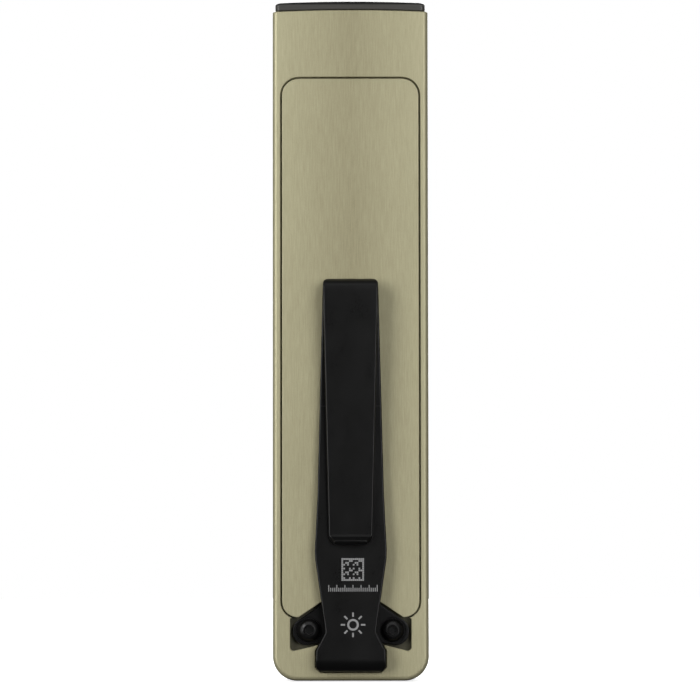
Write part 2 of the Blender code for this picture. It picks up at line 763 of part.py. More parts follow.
def make_selector():
    """The turning ring, what holds it to the front, and the detent spring and magnet under it."""
    place = (0, 0, SELECTOR_Z)
    sink = FRONT - SELECTOR_SINK
    spring_low = sink + SEAT_GAP
    spring_high = spring_low + 0.2 * MM
    ring_low = spring_high + 0.13 * MM
    groove_in, groove_out = HUB_FLANGE, HUB_FLANGE + DETENT_WIDTH
    groove_high = ring_low + 0.35 * MM
    flange_low = SELECTOR_TOP - 0.75 * MM
    ring = turned(
        "selector_ring",
        [
            (SELECTOR_RADIUS - 0.5 * MM, SELECTOR_TOP),
            (SELECTOR_RADIUS, SELECTOR_TOP - 0.35 * MM),
            (SELECTOR_RADIUS, ring_low),
            (groove_out, ring_low),
            (groove_out, groove_high),
            (groove_in, groove_high),
            (groove_in, ring_low),
            (SELECTOR_BORE, ring_low),
            (SELECTOR_BORE, flange_low - SEAT_GAP),
            (HUB_FLANGE + HUB_PLAY, flange_low - SEAT_GAP),
            (HUB_FLANGE + HUB_PLAY, SELECTOR_TOP),
        ],
        place,
        FRONTWARD,
        "black metal",
        closed=True,
        sides=40,
    )
    for index in range(SCALLOPS):
        angle = 2 * math.pi * index / SCALLOPS
        reach = SELECTOR_RADIUS + 0.25 * MM
        centre = (reach * math.cos(angle), SELECTOR_Z + reach * math.sin(angle))
        cut(
            ring,
            rod(
                f"scallop_{index}",
                0.6 * MM,
                FRONT + 0.15 * MM,
                SELECTOR_TOP + MM,
                "Y",
                centre,
                sides=6,
            ),
        )
    magnet_place = (0, SELECTOR_Z - DETENT_PATH)
    magnet_low = groove_high + 0.1 * MM
    magnet_high = magnet_low + 0.5 * MM
    cut(
        ring,
        rod(
            "magnet_seat",
            0.55 * MM,
            ring_low,
            magnet_high + SEAT_GAP,
            "Y",
            magnet_place,
            sides=12,
        ),
    )
    magnet = rod("selector_magnet", 0.45 * MM, magnet_low, magnet_high, "Y", magnet_place, "steel", 12)
    axis = pivot("selector_axis", (0, FRONT, SELECTOR_Z))
    hang(axis, ring, magnet)

    spring = turned(
        "detent_spring",
        [
            (DETENT_PATH + 1.1 * MM, spring_high),
            (DETENT_PATH + 1.1 * MM, spring_low),
            (DETENT_PATH - 1.1 * MM, spring_low),
            (DETENT_PATH - 1.1 * MM, spring_high),
        ],
        place,
        FRONTWARD,
        "steel",
        closed=True,
    )
    for index in range(3):
        angle = math.radians(90 + 120 * index)
        centre = (DETENT_PATH * math.cos(angle), SELECTOR_Z + DETENT_PATH * math.sin(angle))
        bump = rod(
            f"detent_bump_{index}",
            0.45 * MM,
            spring_low + 0.05 * MM,
            groove_high - 0.15 * MM,
            "Y",
            centre,
            sides=10,
        )
        join(spring, bump)

    clip_high = FRONT_WALL - SEAT_GAP
    clip_low = clip_high - 0.33 * MM
    groove = HUB_RADIUS - 0.35 * MM
    hub_low = FRONT_WALL - 1.6 * MM
    step = FRONT_WALL - 0.53 * MM
    bore = BUTTON_RADIUS + SLIP_GAP
    flange_bore = bore + BUTTON_FLANGE
    turned(
        "selector_hub",
        [
            (HUB_FLANGE, SELECTOR_TOP - 0.1 * MM),
            (HUB_FLANGE, flange_low),
            (HUB_RADIUS, flange_low),
            (HUB_RADIUS, clip_high + 0.1 * MM),
            (groove, clip_high + 0.1 * MM),
            (groove, clip_low - 0.1 * MM),
            (HUB_RADIUS, clip_low - 0.1 * MM),
            (HUB_RADIUS, hub_low),
            (flange_bore, hub_low),
            (flange_bore, step),
            (bore, step),
            (bore, SELECTOR_TOP - 0.1 * MM),
        ],
        place,
        FRONTWARD,
        "black metal",
        closed=True,
    )
    ring_inner = groove + 0.1 * MM
    gap = math.radians(25)
    outer = arc(SELECTOR_BORE + 1.25 * MM, gap, 2 * math.pi - gap, 26, (0, SELECTOR_Z))
    inner = arc(ring_inner, 2 * math.pi - gap, gap, 26, (0, SELECTOR_Z))
    plate("hub_clip", [outer + inner], clip_low, clip_high, "Y", "steel")
    make_switch(step)


def make_switch(step):
    """The button in the hub, its rubber boot and the switch on the board."""
    place = (0, 0, SELECTOR_Z)
    button_flange = BUTTON_RADIUS + BUTTON_FLANGE
    flange_high = step - SEAT_GAP
    button_low = flange_high - 0.5 * MM
    cap = SELECTOR_TOP - 0.1 * MM
    button = turned(
        "switch_button",
        [
            (0, cap + 0.25 * MM),
            (0.5 * BUTTON_RADIUS, cap + 0.2 * MM),
            (0.85 * BUTTON_RADIUS, cap),
            (BUTTON_RADIUS, cap - 0.25 * MM),
            (BUTTON_RADIUS, flange_high),
            (button_flange, flange_high),
            (button_flange, button_low),
            (0, button_low),
        ],
        place,
        FRONTWARD,
        "black metal",
    )
    hang(pivot("button_axis", (0, FRONT, SELECTOR_Z)), button)
    boot_high = button_low - BUTTON_TRAVEL - 0.07 * MM
    boot_low = boot_high - 0.4 * MM
    nub_low = boot_low - 0.23 * MM
    turned(
        "switch_boot",
        [
            (0, boot_high),
            (HUB_RADIUS, boot_high),
            (HUB_RADIUS, boot_low),
            (1.5 * MM, boot_low),
            (1.5 * MM, nub_low),
            (0, nub_low),
        ],
        place,
        FRONTWARD,
        "rubber",
    )
    half = 3.1 * MM
    body_low = BOARD_FRONT + SEAT_GAP
    body_high = body_low + 0.75 * MM
    switch = block(
        "tact_switch",
        (-half, body_low, SELECTOR_Z - half),
        (half, body_high, SELECTOR_Z + half),
        "black plastic",
    )
    plunger_high = nub_low - 0.1 * MM
    join(
        switch,
        rod(
            "tact_plunger",
            1.6 * MM,
            body_high - 0.3 * MM,
            plunger_high,
            "Y",
            (0, SELECTOR_Z),
            sides=SMALL_SIDES,
        ),
    )


def board_screw_places():
    """Two opposite corners of the driver board."""
    across = BOARD_WIDTH / 2 - 1.2 * MM
    return [(-across, BOARD_TAIL + 3.4 * MM), (across, BOARD_TAIL + BOARD_HEIGHT - 1.6 * MM)]


def indicator_z():
    return BOARD_TAIL + 2.6 * MM


def indicator_outline(margin):
    half, thick = 3.3 * MM + margin, 0.6 * MM + margin
    return box_outline(-half, half, indicator_z() - thick, indicator_z() + thick, thick - 0.02 * MM)


def make_driver():
    """The driver board with its screws and the larger components on it."""
    half = BOARD_WIDTH / 2
    board = plate(
        "driver_board",
        [box_outline(-half, half, BOARD_TAIL, BOARD_TAIL + BOARD_HEIGHT, 0.6 * MM)],
        BOARD_REAR,
        BOARD_FRONT,
        "Y",
        "board",
    )
    for index, place in enumerate(board_screw_places(), 1):
        hole = rod(
            f"board_hole_{index}",
            0.75 * MM,
            BOARD_REAR - MM,
            BOARD_FRONT + MM,
            "Y",
            place,
            sides=12,
        )
        cut(board, hole)
        head, shaft, length = 1.1 * MM, 0.55 * MM, 3.6 * MM
        screw = turned(
            f"board_screw_{index}",
            [
                (0, 0.7 * MM),
                (0.8 * head, 0.7 * MM),
                (head, 0.4 * MM),
                (head, 0),
                (shaft, 0),
                (shaft, -length),
                (0, -length),
            ],
            (place[0], BOARD_REAR - SEAT_GAP, place[1]),
            REARWARD,
            "steel",
            sides=12,
        )
        cut(screw, slot_cutter(f"board_screw_slot_{index}", place, BOARD_REAR - SEAT_GAP - 0.7 * MM))

    rear = BOARD_REAR - SEAT_GAP
    front = BOARD_FRONT + SEAT_GAP
    inductor = plate(
        "driver_inductor",
        [box_outline(-6.5 * MM, -1.5 * MM, BOARD_TAIL + 12 * MM, BOARD_TAIL + 17 * MM, 0.8 * MM)],
        rear - 2.4 * MM,
        rear,
        "Y",
        "black plastic",
    )
    bevel(inductor, 0.2 * MM, 1, 60)
    block(
        "driver_chip",
        (1.0 * MM, rear - 0.9 * MM, BOARD_TAIL + 12.5 * MM),
        (5.0 * MM, rear, BOARD_TAIL + 16.5 * MM),
        "black plastic",
    )
    rod(
        "driver_capacitor",
        1.9 * MM,
        rear - 2.2 * MM,
        rear,
        "Y",
        (-4.0 * MM, BOARD_TAIL + 8 * MM),
        "foil",
        SMALL_SIDES,
    )
    sensor_z = SELECTOR_Z - DETENT_PATH
    block(
        "position_sensor",
        (-0.8 * MM, front, sensor_z - 0.6 * MM),
        (0.8 * MM, front + 0.6 * MM, sensor_z + 0.6 * MM),
        "black plastic",
    )
    for index in range(4):
        across = (index - 1.5) * 1.6 * MM
        block(
            f"indicator_led_{index + 1}",
            (across - 0.5 * MM, front, indicator_z() - 0.3 * MM),
            (across + 0.5 * MM, front + 0.5 * MM, indicator_z() + 0.3 * MM),
            "white plastic",
        )
    lens = plate(
        "indicator_lens",
        [indicator_outline(-0.1 * MM)],
        FRONT_WALL - 0.5 * MM,
        FRONT - 0.1 * MM,
        "Y",
        "clear plastic",
    )
    join(
        lens,
        plate(
            "indicator_flange",
            [indicator_outline(0.5 * MM)],
            FRONT_WALL - 0.9 * MM,
            FRONT_WALL - SEAT_GAP,
            "Y",
        ),
    )


def slot_cutter(name, place, face):
    """A straight driver slot across a small screw head whose top faces the rear."""
    across, up = place
    return block(
        name,
        (across - 2 * MM, face - MM, up - 0.15 * MM),
        (across + 2 * MM, face + 0.3 * MM, up + 0.15 * MM),
    )


def make_battery():
    front = FRONT_WALL - SEAT_GAP
    rear = REAR + COVER_THICKNESS + SEAT_GAP
    cell_front = front - PAD - SEAT_GAP
    cell_rear = rear + PAD + SEAT_GAP
    cell = plate(
        "battery_cell",
        [box_outline(BATTERY_LEFT, BATTERY_RIGHT, cell_rear, cell_front, 1.8 * MM)],
        BATTERY_TAIL,
        BATTERY_HEAD,
        "Z",
        "foil",
    )
    bevel(cell, 0.4 * MM, 1, 60)
    middle = (BATTERY_LEFT + BATTERY_RIGHT) / 2
    for name, low, high in (
        ("battery_pad_front", front - PAD, front),
        ("battery_pad_rear", rear, rear + PAD),
    ):
        plate(
            name,
            [box_outline(middle - 7 * MM, middle + 7 * MM, BATTERY_TAIL + 4 * MM, BATTERY_HEAD - 4 * MM, MM)],
            low,
            high,
            "Y",
            "foam",
        )
    plate(
        "battery_guard_board",
        [box_outline(BATTERY_LEFT + 0.3 * MM, BATTERY_RIGHT - 0.2 * MM, -4.5 * MM, 4.5 * MM, 0.5 * MM)],
        BATTERY_HEAD + 0.3 * MM,
        BATTERY_HEAD + 1.1 * MM,
        "Z",
        "board",
    )


def tail_outline(margin):
    half_x = CONTACT_HOLE + TAIL_PLATE_SIDE + margin
    half_y = BODY_DEPTH / 2 - TAIL_PLATE_WALL + margin
    return box_outline(-half_x, half_x, -half_y, half_y, half_y - 0.02 * MM)


def make_tail():
    plate_piece = plate(
        "tail_plate", [tail_outline(0), circle(CONTACT_HOLE)], 0, TAIL_PLATE, "Z", "black plastic"
    )
    inner = CONTACT_HOLE + 0.25 * MM
    for side, name in ((0, "rib_right"), (math.pi, "rib_left")):
        outer_arc = arc(inner + RIB_WIDTH, side - RIB_ARC, side + RIB_ARC, 8)
        inner_arc = arc(inner, side + RIB_ARC, side - RIB_ARC, 8)
        join(plate_piece, plate(name, [outer_arc + inner_arc], -RIB_STAND, 0.3 * MM, "Z"))

    ring_outer = CONTACT_HOLE - SLIP_GAP
    ring_inner = CONTACT_PIN + 1.15 * MM
    ring_head = TAIL_PLATE - 0.1 * MM
    plate("contact_ring", [circle(ring_outer), circle(ring_inner)], 0, ring_head, "Z", "copper")
    plate(
        "contact_insulator",
        [circle(ring_inner - SLIP_GAP), circle(CONTACT_PIN + SLIP_GAP)],
        0,
        ring_head,
        "Z",
        "white plastic",
    )
    pin_head = 0.9 * MM
    turned(
        "contact_pin",
        [
            (0, CHARGE_BOARD_TAIL - SEAT_GAP),
            (0.9 * MM, CHARGE_BOARD_TAIL - SEAT_GAP),
            (0.9 * MM, pin_head),
            (CONTACT_PIN, pin_head),
            (CONTACT_PIN, 0),
            (0, 0),
        ],
        (0, 0, 0),
        (0, 0, 0),
        "copper",
        sides=SMALL_SIDES,
    )
    magnet_radius = MAGNET_BORE - SLIP_GAP
    plate(
        "tail_magnet",
        [circle(magnet_radius), circle(CONTACT_PIN)],
        MAGNET_TAIL,
        MAGNET_TAIL + MAGNET,
        "Z",
        "steel",
    )
    rod("charge_board", magnet_radius, CHARGE_BOARD_TAIL, CHARGE_BOARD_HEAD, "Z", paint="board")


def bent_path(start, heading, moves):
    """Stations (out, up, heading) along the middle of a bent strip. A move is (length, turn)."""
    out, up = start
    stations = [(out, up, heading)]
    for length, turn in moves:
        steps = max(1, math.ceil(abs(turn) / ARC_STEP))
        half = turn / steps / 2
        chord = length / steps * (math.sin(half) / half if half else 1)
        for _ in range(steps):
            out += chord * math.cos(heading + half)
            up += chord * math.sin(heading + half)
            heading += 2 * half
            stations.append((out, up, heading))
    return stations


def strip(name, stations, outline, paint):
    """A sheet bent along the stations, then cut to its outline seen from behind."""
    edges = []
    for side in (1, -1):
        edge = [
            (
                REAR - (out - side * CLIP_SHEET / 2 * math.sin(heading)),
                up + side * CLIP_SHEET / 2 * math.cos(heading),
            )
            for out, up, heading in stations
        ]
        edges += edge[::side]
    bent = plate(name, [edges], -EAR_HALF - MM, EAR_HALF + MM, "X", paint)
    shape = plate(f"{name}_shape", [outline], 3 * REAR, FRONT, "Y")
    boolean(bent, shape, "INTERSECT")
    return bent


def make_clip():
    """One strip of spring steel, in three pieces where it flexes: at the tail bend and the top fold."""
    down = -math.pi / 2
    strap = THROAT_HALF - THROAT_GAP
    ear_top = notch_height(NOTCH_FLAT, EAR_TOP_GAP)
    tail_turn = math.pi + ARM_LEAN
    tail_slit = SPRING_SLIT / TAIL_BEND
    tail_start = (BASE_OUT, ear_top + MM)
    base_run = tail_start[1] - TAIL_BEND_Z
    base_path = bent_path(
        tail_start, down, [(base_run, 0), (TAIL_BEND * (tail_turn - tail_slit), tail_turn - tail_slit)]
    )
    base = strip(
        "clip_base",
        base_path,
        rounded_outline(
            mirrored(
                [
                    (strap, CLIP_TAIL, 1.1 * MM),
                    (strap, TAIL_BEND_Z + 0.75 * MM, 0.3 * MM),
                    (strap - 0.65 * MM, TAIL_BEND_Z + 1.45 * MM, 0.2 * MM),
                    (strap - 0.65 * MM, 6.15 * MM, 0.2 * MM),
                    (EAR_HALF, 5.45 * MM, 2.2 * MM),
                    (EAR_HALF, notch_height(EAR_HALF, EAR_TOP_GAP), 2.0 * MM),
                    (NOTCH_FLAT, ear_top, 0.3 * MM),
                ]
            )
        ),
        "black metal",
    )
    arm_out, arm_up, up_heading = bent_path(
        tail_start, down, [(base_run, 0), (TAIL_BEND * tail_turn, tail_turn)]
    )[-1]
    arm_run = (FOLD_Z - arm_up) / math.sin(up_heading)
    crease_out = ARM_ROOT_OUT - (CREASE_HEIGHT - TAIL_BEND_Z) * math.tan(ARM_LEAN) + CLIP_SHEET + CREASE_GAP
    fold_out = ARM_TIP_OUT + 2 * TOP_BEND
    outer_lean = math.atan2(fold_out - crease_out, FOLD_Z - CREASE_HEIGHT)
    fold_turn = -(math.pi + ARM_LEAN + outer_lean)
    fold_slit = SPRING_SLIT / TOP_BEND
    arm_path = bent_path(
        (arm_out, arm_up),
        up_heading,
        [(arm_run, 0), (TOP_BEND * (-fold_turn - fold_slit), fold_turn + fold_slit)],
    )
    arm = strip(
        "clip_arm",
        arm_path,
        rounded_outline(
            mirrored(
                [
                    (strap, TAIL_BEND_Z - MM, 0),
                    (strap, 5.6 * MM, 1.2 * MM),
                    (WAIST_HALF, WAIST_HEIGHT, 1.2 * MM),
                    (HIP_HALF, HIP_HEIGHT, 4 * MM),
                    (SHOULDER_HALF, SHOULDER_HEIGHT, 0),
                    (ARM_TIP_HALF, CLIP_HEAD, 0.5 * MM),
                ]
            )
        ),
        "black metal",
    )
    outer_out, outer_up, down_heading = bent_path(
        (arm_out, arm_up), up_heading, [(arm_run, 0), (-TOP_BEND * fold_turn, fold_turn)]
    )[-1]
    outer_run = (outer_up - CREASE_HEIGHT) / -math.sin(down_heading)
    outer_path = bent_path(
        (outer_out, outer_up),
        down_heading,
        [(outer_run, 0), (LIP_BEND * LIP_ANGLE, LIP_ANGLE), (LIP_RUN, 0)],
    )
    lip = CREASE_HEIGHT - 2.2 * MM
    outer = strip(
        "clip_outer_arm",
        outer_path,
        rounded_outline(
            mirrored(
                [
                    (LIP_HALF, lip, 1.4 * MM),
                    (LIP_HALF, CREASE_HEIGHT, 0),
                    (ARM_TIP_HALF, FOLD_Z, 0),
                    (ARM_TIP_HALF, CLIP_HEAD, 0),
                ]
            )
        ),
        "black metal",
    )
    hang(pivot("clip_tail_axis", (0, REAR - BASE_OUT - TAIL_BEND, TAIL_BEND_Z)), arm)
    hang(pivot("clip_fold_axis", (0, REAR - ARM_TIP_OUT - TOP_BEND, FOLD_Z)), outer)
    for side, name in ((-1, "left"), (1, "right")):
        make_clip_screw(base, side * CLIP_SCREW_X, name)


def make_clip_screw(base, across, name):
    """A button-head socket screw through one ear of the clip."""
    seat = REAR + CLIP_SINK - 0.05 * MM
    head, height = CLIP_SCREW_HEAD, 1.15 * MM
    place = (across, CLIP_SCREW_Z)
    cut(
        base,
        rod(
            f"ear_hole_{name}",
            CLIP_SCREW_SHAFT + SLIP_GAP,
            seat - MM,
            seat + 3 * MM,
            "Y",
            place,
            sides=SMALL_SIDES,
        ),
    )
    screw = turned(
        f"clip_screw_{name}",
        [
            (0, height),
            (0.55 * head, height),
            (0.8 * head, 0.8 * height),
            (0.95 * head, 0.45 * height),
            (head, 0),
            (CLIP_SCREW_SHAFT, 0),
            (CLIP_SCREW_SHAFT, -CLIP_SCREW_LENGTH),
            (0, -CLIP_SCREW_LENGTH),
        ],
        (across, seat, CLIP_SCREW_Z),
        REARWARD,
        "black metal",
        sides=24,
    )
    socket = rod(
        f"clip_screw_socket_{name}",
        1.15 * MM,
        seat - height - MM,
        seat - height + 0.75 * MM,
        "Y",
        place,
        sides=6,
    )
    cut(screw, socket)


def smooth_route(points):
    """A Catmull-Rom curve through the points."""
    ends = [2 * points[0] - points[1], *points, 2 * points[-1] - points[-2]]
    route = []
    for before, start, end, after in zip(ends, ends[1:], ends[2:], ends[3:]):
        for step in range(ROUTE_STEPS):
            t = step / ROUTE_STEPS
            route.append(
                0.5
                * (
                    2 * start
                    + (end - before) * t
                    + (2 * before - 5 * start + 4 * end - after) * t**2
                    + (3 * start - before - 3 * end + after) * t**3
                )
            )
    return [*route, points[-1]]


def lead(name, points, paint):
    """An insulated lead through its points."""
    curve = bpy.data.curves.new(name, "CURVE")
    curve.dimensions = "3D"
    curve.bevel_depth = LEAD_RADIUS
    curve.bevel_resolution = 1
    curve.use_fill_caps = True
    route = smooth_route([Vector(point) for point in points])
    spline = curve.splines.new("POLY")
    spline.points.add(len(route) - 1)
    for point, place in zip(spline.points, route):
        point.co = (*place, 1)
    add(name, curve, paint)


def make_leads():
    gap = 0.3 * MM
    bottom = CHARGE_BOARD_HEAD + gap
    board_end = BOARD_TAIL - 2 * gap
    ends = {
        "plus": [
            (CHANNEL_X, 1.2 * MM, BATTERY_HEAD - 2 * MM),
            (CHANNEL_X - 0.6 * MM, 0.6 * MM + BOARD_REAR / 2, BATTERY_HEAD + 1.4 * MM),
            (CHANNEL_X - 1.4 * MM, (BOARD_REAR + BOARD_FRONT) / 2, board_end),
        ],
        "minus": [
            (CHANNEL_X, -1.2 * MM, BATTERY_HEAD + 2 * MM),
            (CHANNEL_X - 0.4 * MM, -1.2 * MM, BOARD_TAIL + 2 * MM),
            (CHANNEL_X - 1.6 * MM, -1.2 * MM, BOARD_TAIL + 3.5 * MM),
        ],
    }
    for name, shift, paint in (("plus", 0.6 * MM, "red wire"), ("minus", -0.6 * MM, "black wire")):
        route = [
            (0, shift, bottom),
            (0, shift, CAVITY_TAIL - 2 * MM),
            (1.5 * MM, shift, CAVITY_TAIL + 1.0 * MM),
            (CHANNEL_X - 1.5 * MM, shift * 2, CAVITY_TAIL + 1.2 * MM),
            (CHANNEL_X, shift * 2, BATTERY_TAIL + 1.5 * MM),
            (CHANNEL_X, shift * 2, (BATTERY_TAIL + BATTERY_HEAD) / 2),
        ]
        lead(f"charge_lead_{name}", route + ends[name], paint)
    guard_head = BATTERY_HEAD + 1.1 * MM + gap
    for name, across, paint in (("plus", -3 * MM, "red wire"), ("minus", 3 * MM, "black wire")):
        lead(
            f"battery_lead_{name}",
            [
                (across, -1 * MM, guard_head + LEAD_RADIUS),
                (across, -0.6 * MM, guard_head + 1.6 * MM),
                (across, -0.2 * MM, BOARD_TAIL + 2.5 * MM),
                (across, BOARD_REAR - 1.0 * MM, BOARD_TAIL + 4.5 * MM),
            ],
            paint,
        )
    lead_x, lead_y = led_lead_place()
    for name, shift, paint in (("plus", 0.5 * MM, "red wire"), ("minus", -0.5 * MM, "black wire")):
        lead(
            f"led_lead_{name}",
            [
                (lead_x + shift, lead_y, LED_BOARD_TAIL + BOARD + 0.3 * MM),
                (lead_x + shift, lead_y, HEAD_FLOOR - 1 * MM),
                (lead_x + shift, lead_y, CAVITY_HEAD + 0.5 * MM),
                (lead_x + shift, lead_y, CAVITY_HEAD - 1.2 * MM),
                (lead_x + 2 * shift + 1.0 * MM, lead_y + 2 * MM, CAVITY_HEAD - 3.5 * MM),
                (lead_x + 2 * shift + 1.5 * MM, BOARD_REAR - 0.8 * MM, CAVITY_HEAD - 4.5 * MM),
            ],
            paint,
        )
    lead(
        "laser_lead",
        [
            (LASER_X, 0, CAVITY_HEAD - 0.2 * MM),
            (LASER_X, -0.2 * MM, CAVITY_HEAD - 2.2 * MM),
            (LASER_X - 1.5 * MM, -0.2 * MM, CAVITY_HEAD - 4 * MM),
            (LASER_X - 3 * MM, BOARD_REAR - 0.8 * MM, CAVITY_HEAD - 5 * MM),
        ],
        "red wire",
    )


clear_scene()
parts = new_collection("tactical_flashlight")
cutters = new_collection("cutters")
cutters.hide_render = True
make_body()
make_cover()
make_head()
make_selector()
make_driver()
make_battery()
make_tail()
make_clip()
make_leads()
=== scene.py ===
import math

import bmesh
import bpy
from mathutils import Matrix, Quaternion, Vector


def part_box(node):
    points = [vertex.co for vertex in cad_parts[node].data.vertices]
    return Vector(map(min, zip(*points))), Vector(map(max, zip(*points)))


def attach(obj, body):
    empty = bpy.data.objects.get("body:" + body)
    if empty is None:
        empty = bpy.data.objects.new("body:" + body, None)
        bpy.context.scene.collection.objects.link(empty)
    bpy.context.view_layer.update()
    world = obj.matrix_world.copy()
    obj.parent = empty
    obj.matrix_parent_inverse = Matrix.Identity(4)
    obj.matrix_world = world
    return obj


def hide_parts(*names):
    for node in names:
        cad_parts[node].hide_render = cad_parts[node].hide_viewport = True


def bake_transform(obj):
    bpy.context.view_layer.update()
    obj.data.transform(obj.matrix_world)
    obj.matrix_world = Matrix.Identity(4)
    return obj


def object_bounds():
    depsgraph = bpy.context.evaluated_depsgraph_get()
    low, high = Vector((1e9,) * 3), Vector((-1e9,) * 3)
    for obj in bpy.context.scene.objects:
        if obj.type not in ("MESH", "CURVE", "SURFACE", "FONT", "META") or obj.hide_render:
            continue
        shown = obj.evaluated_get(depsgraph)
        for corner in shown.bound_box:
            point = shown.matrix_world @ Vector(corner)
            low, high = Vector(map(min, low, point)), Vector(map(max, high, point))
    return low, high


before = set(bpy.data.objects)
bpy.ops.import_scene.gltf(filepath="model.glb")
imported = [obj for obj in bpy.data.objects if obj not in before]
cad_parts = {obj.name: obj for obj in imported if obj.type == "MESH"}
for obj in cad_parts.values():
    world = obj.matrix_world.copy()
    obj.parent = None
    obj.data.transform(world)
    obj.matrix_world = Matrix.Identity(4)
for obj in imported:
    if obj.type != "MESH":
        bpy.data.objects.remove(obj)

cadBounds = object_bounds()
mm = 0.001
past = 1.0  # how far a cutting shape runs past the face it opens, in mm


def boxOf(node):  # a node's lowest and highest corners, in mm
    low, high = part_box(node)
    return low / mm, high / mm


def middleOf(node):
    low, high = boxOf(node)
    return (low + high) / 2


# shapes: outlines are (across, up, corner radius), in mm


def outline(corners, margin=0.0, steps=8):
    # points round a closed outline, anticlockwise, with every side moved outwards by the margin
    points = []
    for index, (across, up, radius) in enumerate(corners):
        here = Vector((across, up))
        into = (here - Vector(corners[index - 1][:2])).normalized()
        away = (Vector(corners[(index + 1) % len(corners)][:2]) - here).normalized()
        sideIn = Vector((into.y, -into.x))
        sideOut = Vector((away.y, -away.x))
        place = here + (sideIn + sideOut) * margin / (1 + sideIn.dot(sideOut))
        if not radius:
            points.append(place)
            continue
        outward = into.cross(away) > 0
        reach = max(radius + (margin if outward else -margin), 0.002)
        half = (-into).angle(away) / 2
        centre = place + (away - into).normalized() * reach / math.sin(half)
        start = place - into * reach / math.tan(half) - centre
        end = place + away * reach / math.tan(half) - centre
        first = math.atan2(start.y, start.x)
        sweep = (math.atan2(end.y, end.x) - first + math.pi) % (2 * math.pi) - math.pi
        for step in range(steps + 1):
            angle = first + sweep * step / steps
            points.append(centre + reach * Vector((math.cos(angle), math.sin(angle))))
    return points


def bothSides(rightHalf):
    return rightHalf + [(-across, up, radius) for across, up, radius in reversed(rightHalf)]


def shaped(corners, steps=8):
    return lambda margin: outline(corners, margin, steps)


def boxed(halfWidth, halfHeight, radius, centre=(0, 0), steps=8):
    x, z = centre
    return shaped(
        [
            (x - halfWidth, z - halfHeight, radius),
            (x + halfWidth, z - halfHeight, radius),
            (x + halfWidth, z + halfHeight, radius),
            (x - halfWidth, z + halfHeight, radius),
        ],
        steps,
    )


def circle(radius, centre=(0, 0), sides=64, turn=0.0):
    def points(margin):
        angles = [turn + 2 * math.pi * side / sides for side in range(sides)]
        return [Vector(centre) + (radius + margin) * Vector((math.cos(a), math.sin(a))) for a in angles]

    return points


def alongY(across, up, height):
    return Vector((across, height, up))


def alongZ(across, deep, height):
    return Vector((across, deep, height))


def shell(name, rings, closed=False):
    # a skin over rings that hold the same number of points, capped at both ends unless the rings close up
    shape = bmesh.new()
    loops = [[shape.verts.new(point * mm) for point in ring] for ring in rings]
    pairs = list(zip(loops, loops[1:]))
    if closed:
        pairs.append((loops[-1], loops[0]))
    else:
        shape.faces.new(loops[0])
        shape.faces.new(loops[-1])
    for lower, upper in pairs:
        for index in range(len(lower)):
            after = (index + 1) % len(lower)
            shape.faces.new((lower[index], lower[after], upper[after], upper[index]))
    bmesh.ops.remove_doubles(shape, verts=shape.verts, dist=0.0004 * mm)
    bmesh.ops.recalc_face_normals(shape, faces=shape.faces)
    mesh = bpy.data.meshes.new(name)
    shape.to_mesh(mesh)
    shape.free()
    piece = bpy.data.objects.new(name, mesh)
    bpy.context.scene.collection.objects.link(piece)
    return piece


def slab(name, shape, low, high, lay=alongY, lowEdge=0.0, highEdge=0.0, steps=5):
    # an outline pulled from low to high, with its two rims rounded
    rings = []
    for end, edge, way in ((low, lowEdge, 1), (high, highEdge, -1)):
        levels = []
        for step in range(steps + 1 if edge else 1):
            angle = math.pi / 2 * step / steps
            levels.append((-edge * (1 - math.sin(angle)), end + way * edge * (1 - math.cos(angle))))
        rings += [[lay(*point, level) for point in shape(margin)] for margin, level in levels[::way]]
    return shell(name, rings)


def sinker(name, shape, face, floor, lay=alongY, rim=0.1):
    # what cuts a pocket from a face down to a floor, with a fine chamfer round its mouth
    way = 1 if floor > face else -1
    levels = ((rim, face - way * past), (rim, face), (0, face + way * rim), (0, floor))
    return shell(name, [[lay(*point, level) for point in shape(margin)] for margin, level in levels])


def lathe(name, corners, centre=(0, 0), lay=alongY, sides=64, hollow=False, steps=4):
    # a section of (radius, height, fillet) turned about its axis, from axis to axis unless it is hollow
    section = outline(corners, 0, steps)
    angles = [2 * math.pi * side / sides for side in range(sides)]
    rings = [
        [lay(centre[0] + r * math.cos(a), centre[1] + r * math.sin(a), height) for a in angles]
        for r, height in section
    ]
    return shell(name, rings, hollow)


def settle(piece):
    graph = bpy.context.evaluated_depsgraph_get()
    mesh = bpy.data.meshes.new_from_object(piece.evaluated_get(graph))
    mesh.name = piece.name
    piece.modifiers.clear()
    piece.data = mesh


def combine(piece, operation, tools):
    for tool in tools:
        change = piece.modifiers.new(tool.name, "BOOLEAN")
        change.operation = operation
        change.solver = "EXACT"
        change.object = tool
    settle(piece)
    for tool in tools:
        bpy.data.objects.remove(tool)


def cut(piece, *tools):
    combine(piece, "DIFFERENCE", tools)


def join(piece, *tools):
    combine(piece, "UNION", tools)


def dress(piece, finish, body="root", stands=(), sharp=40):
    # smooth shading with true flats, a finish, and the body it moves with
    piece.data.shade_smooth()
    piece.data.set_sharp_from_angle(angle=math.radians(sharp))
    flats = piece.modifiers.new("flats", "WEIGHTED_NORMAL")
    flats.keep_sharp = True
    settle(piece)
    piece.data.materials.clear()
    piece.data.materials.append(finish)
    if body:
        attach(piece, body)
    if stands:
        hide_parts(*stands)
    return piece


# finishes


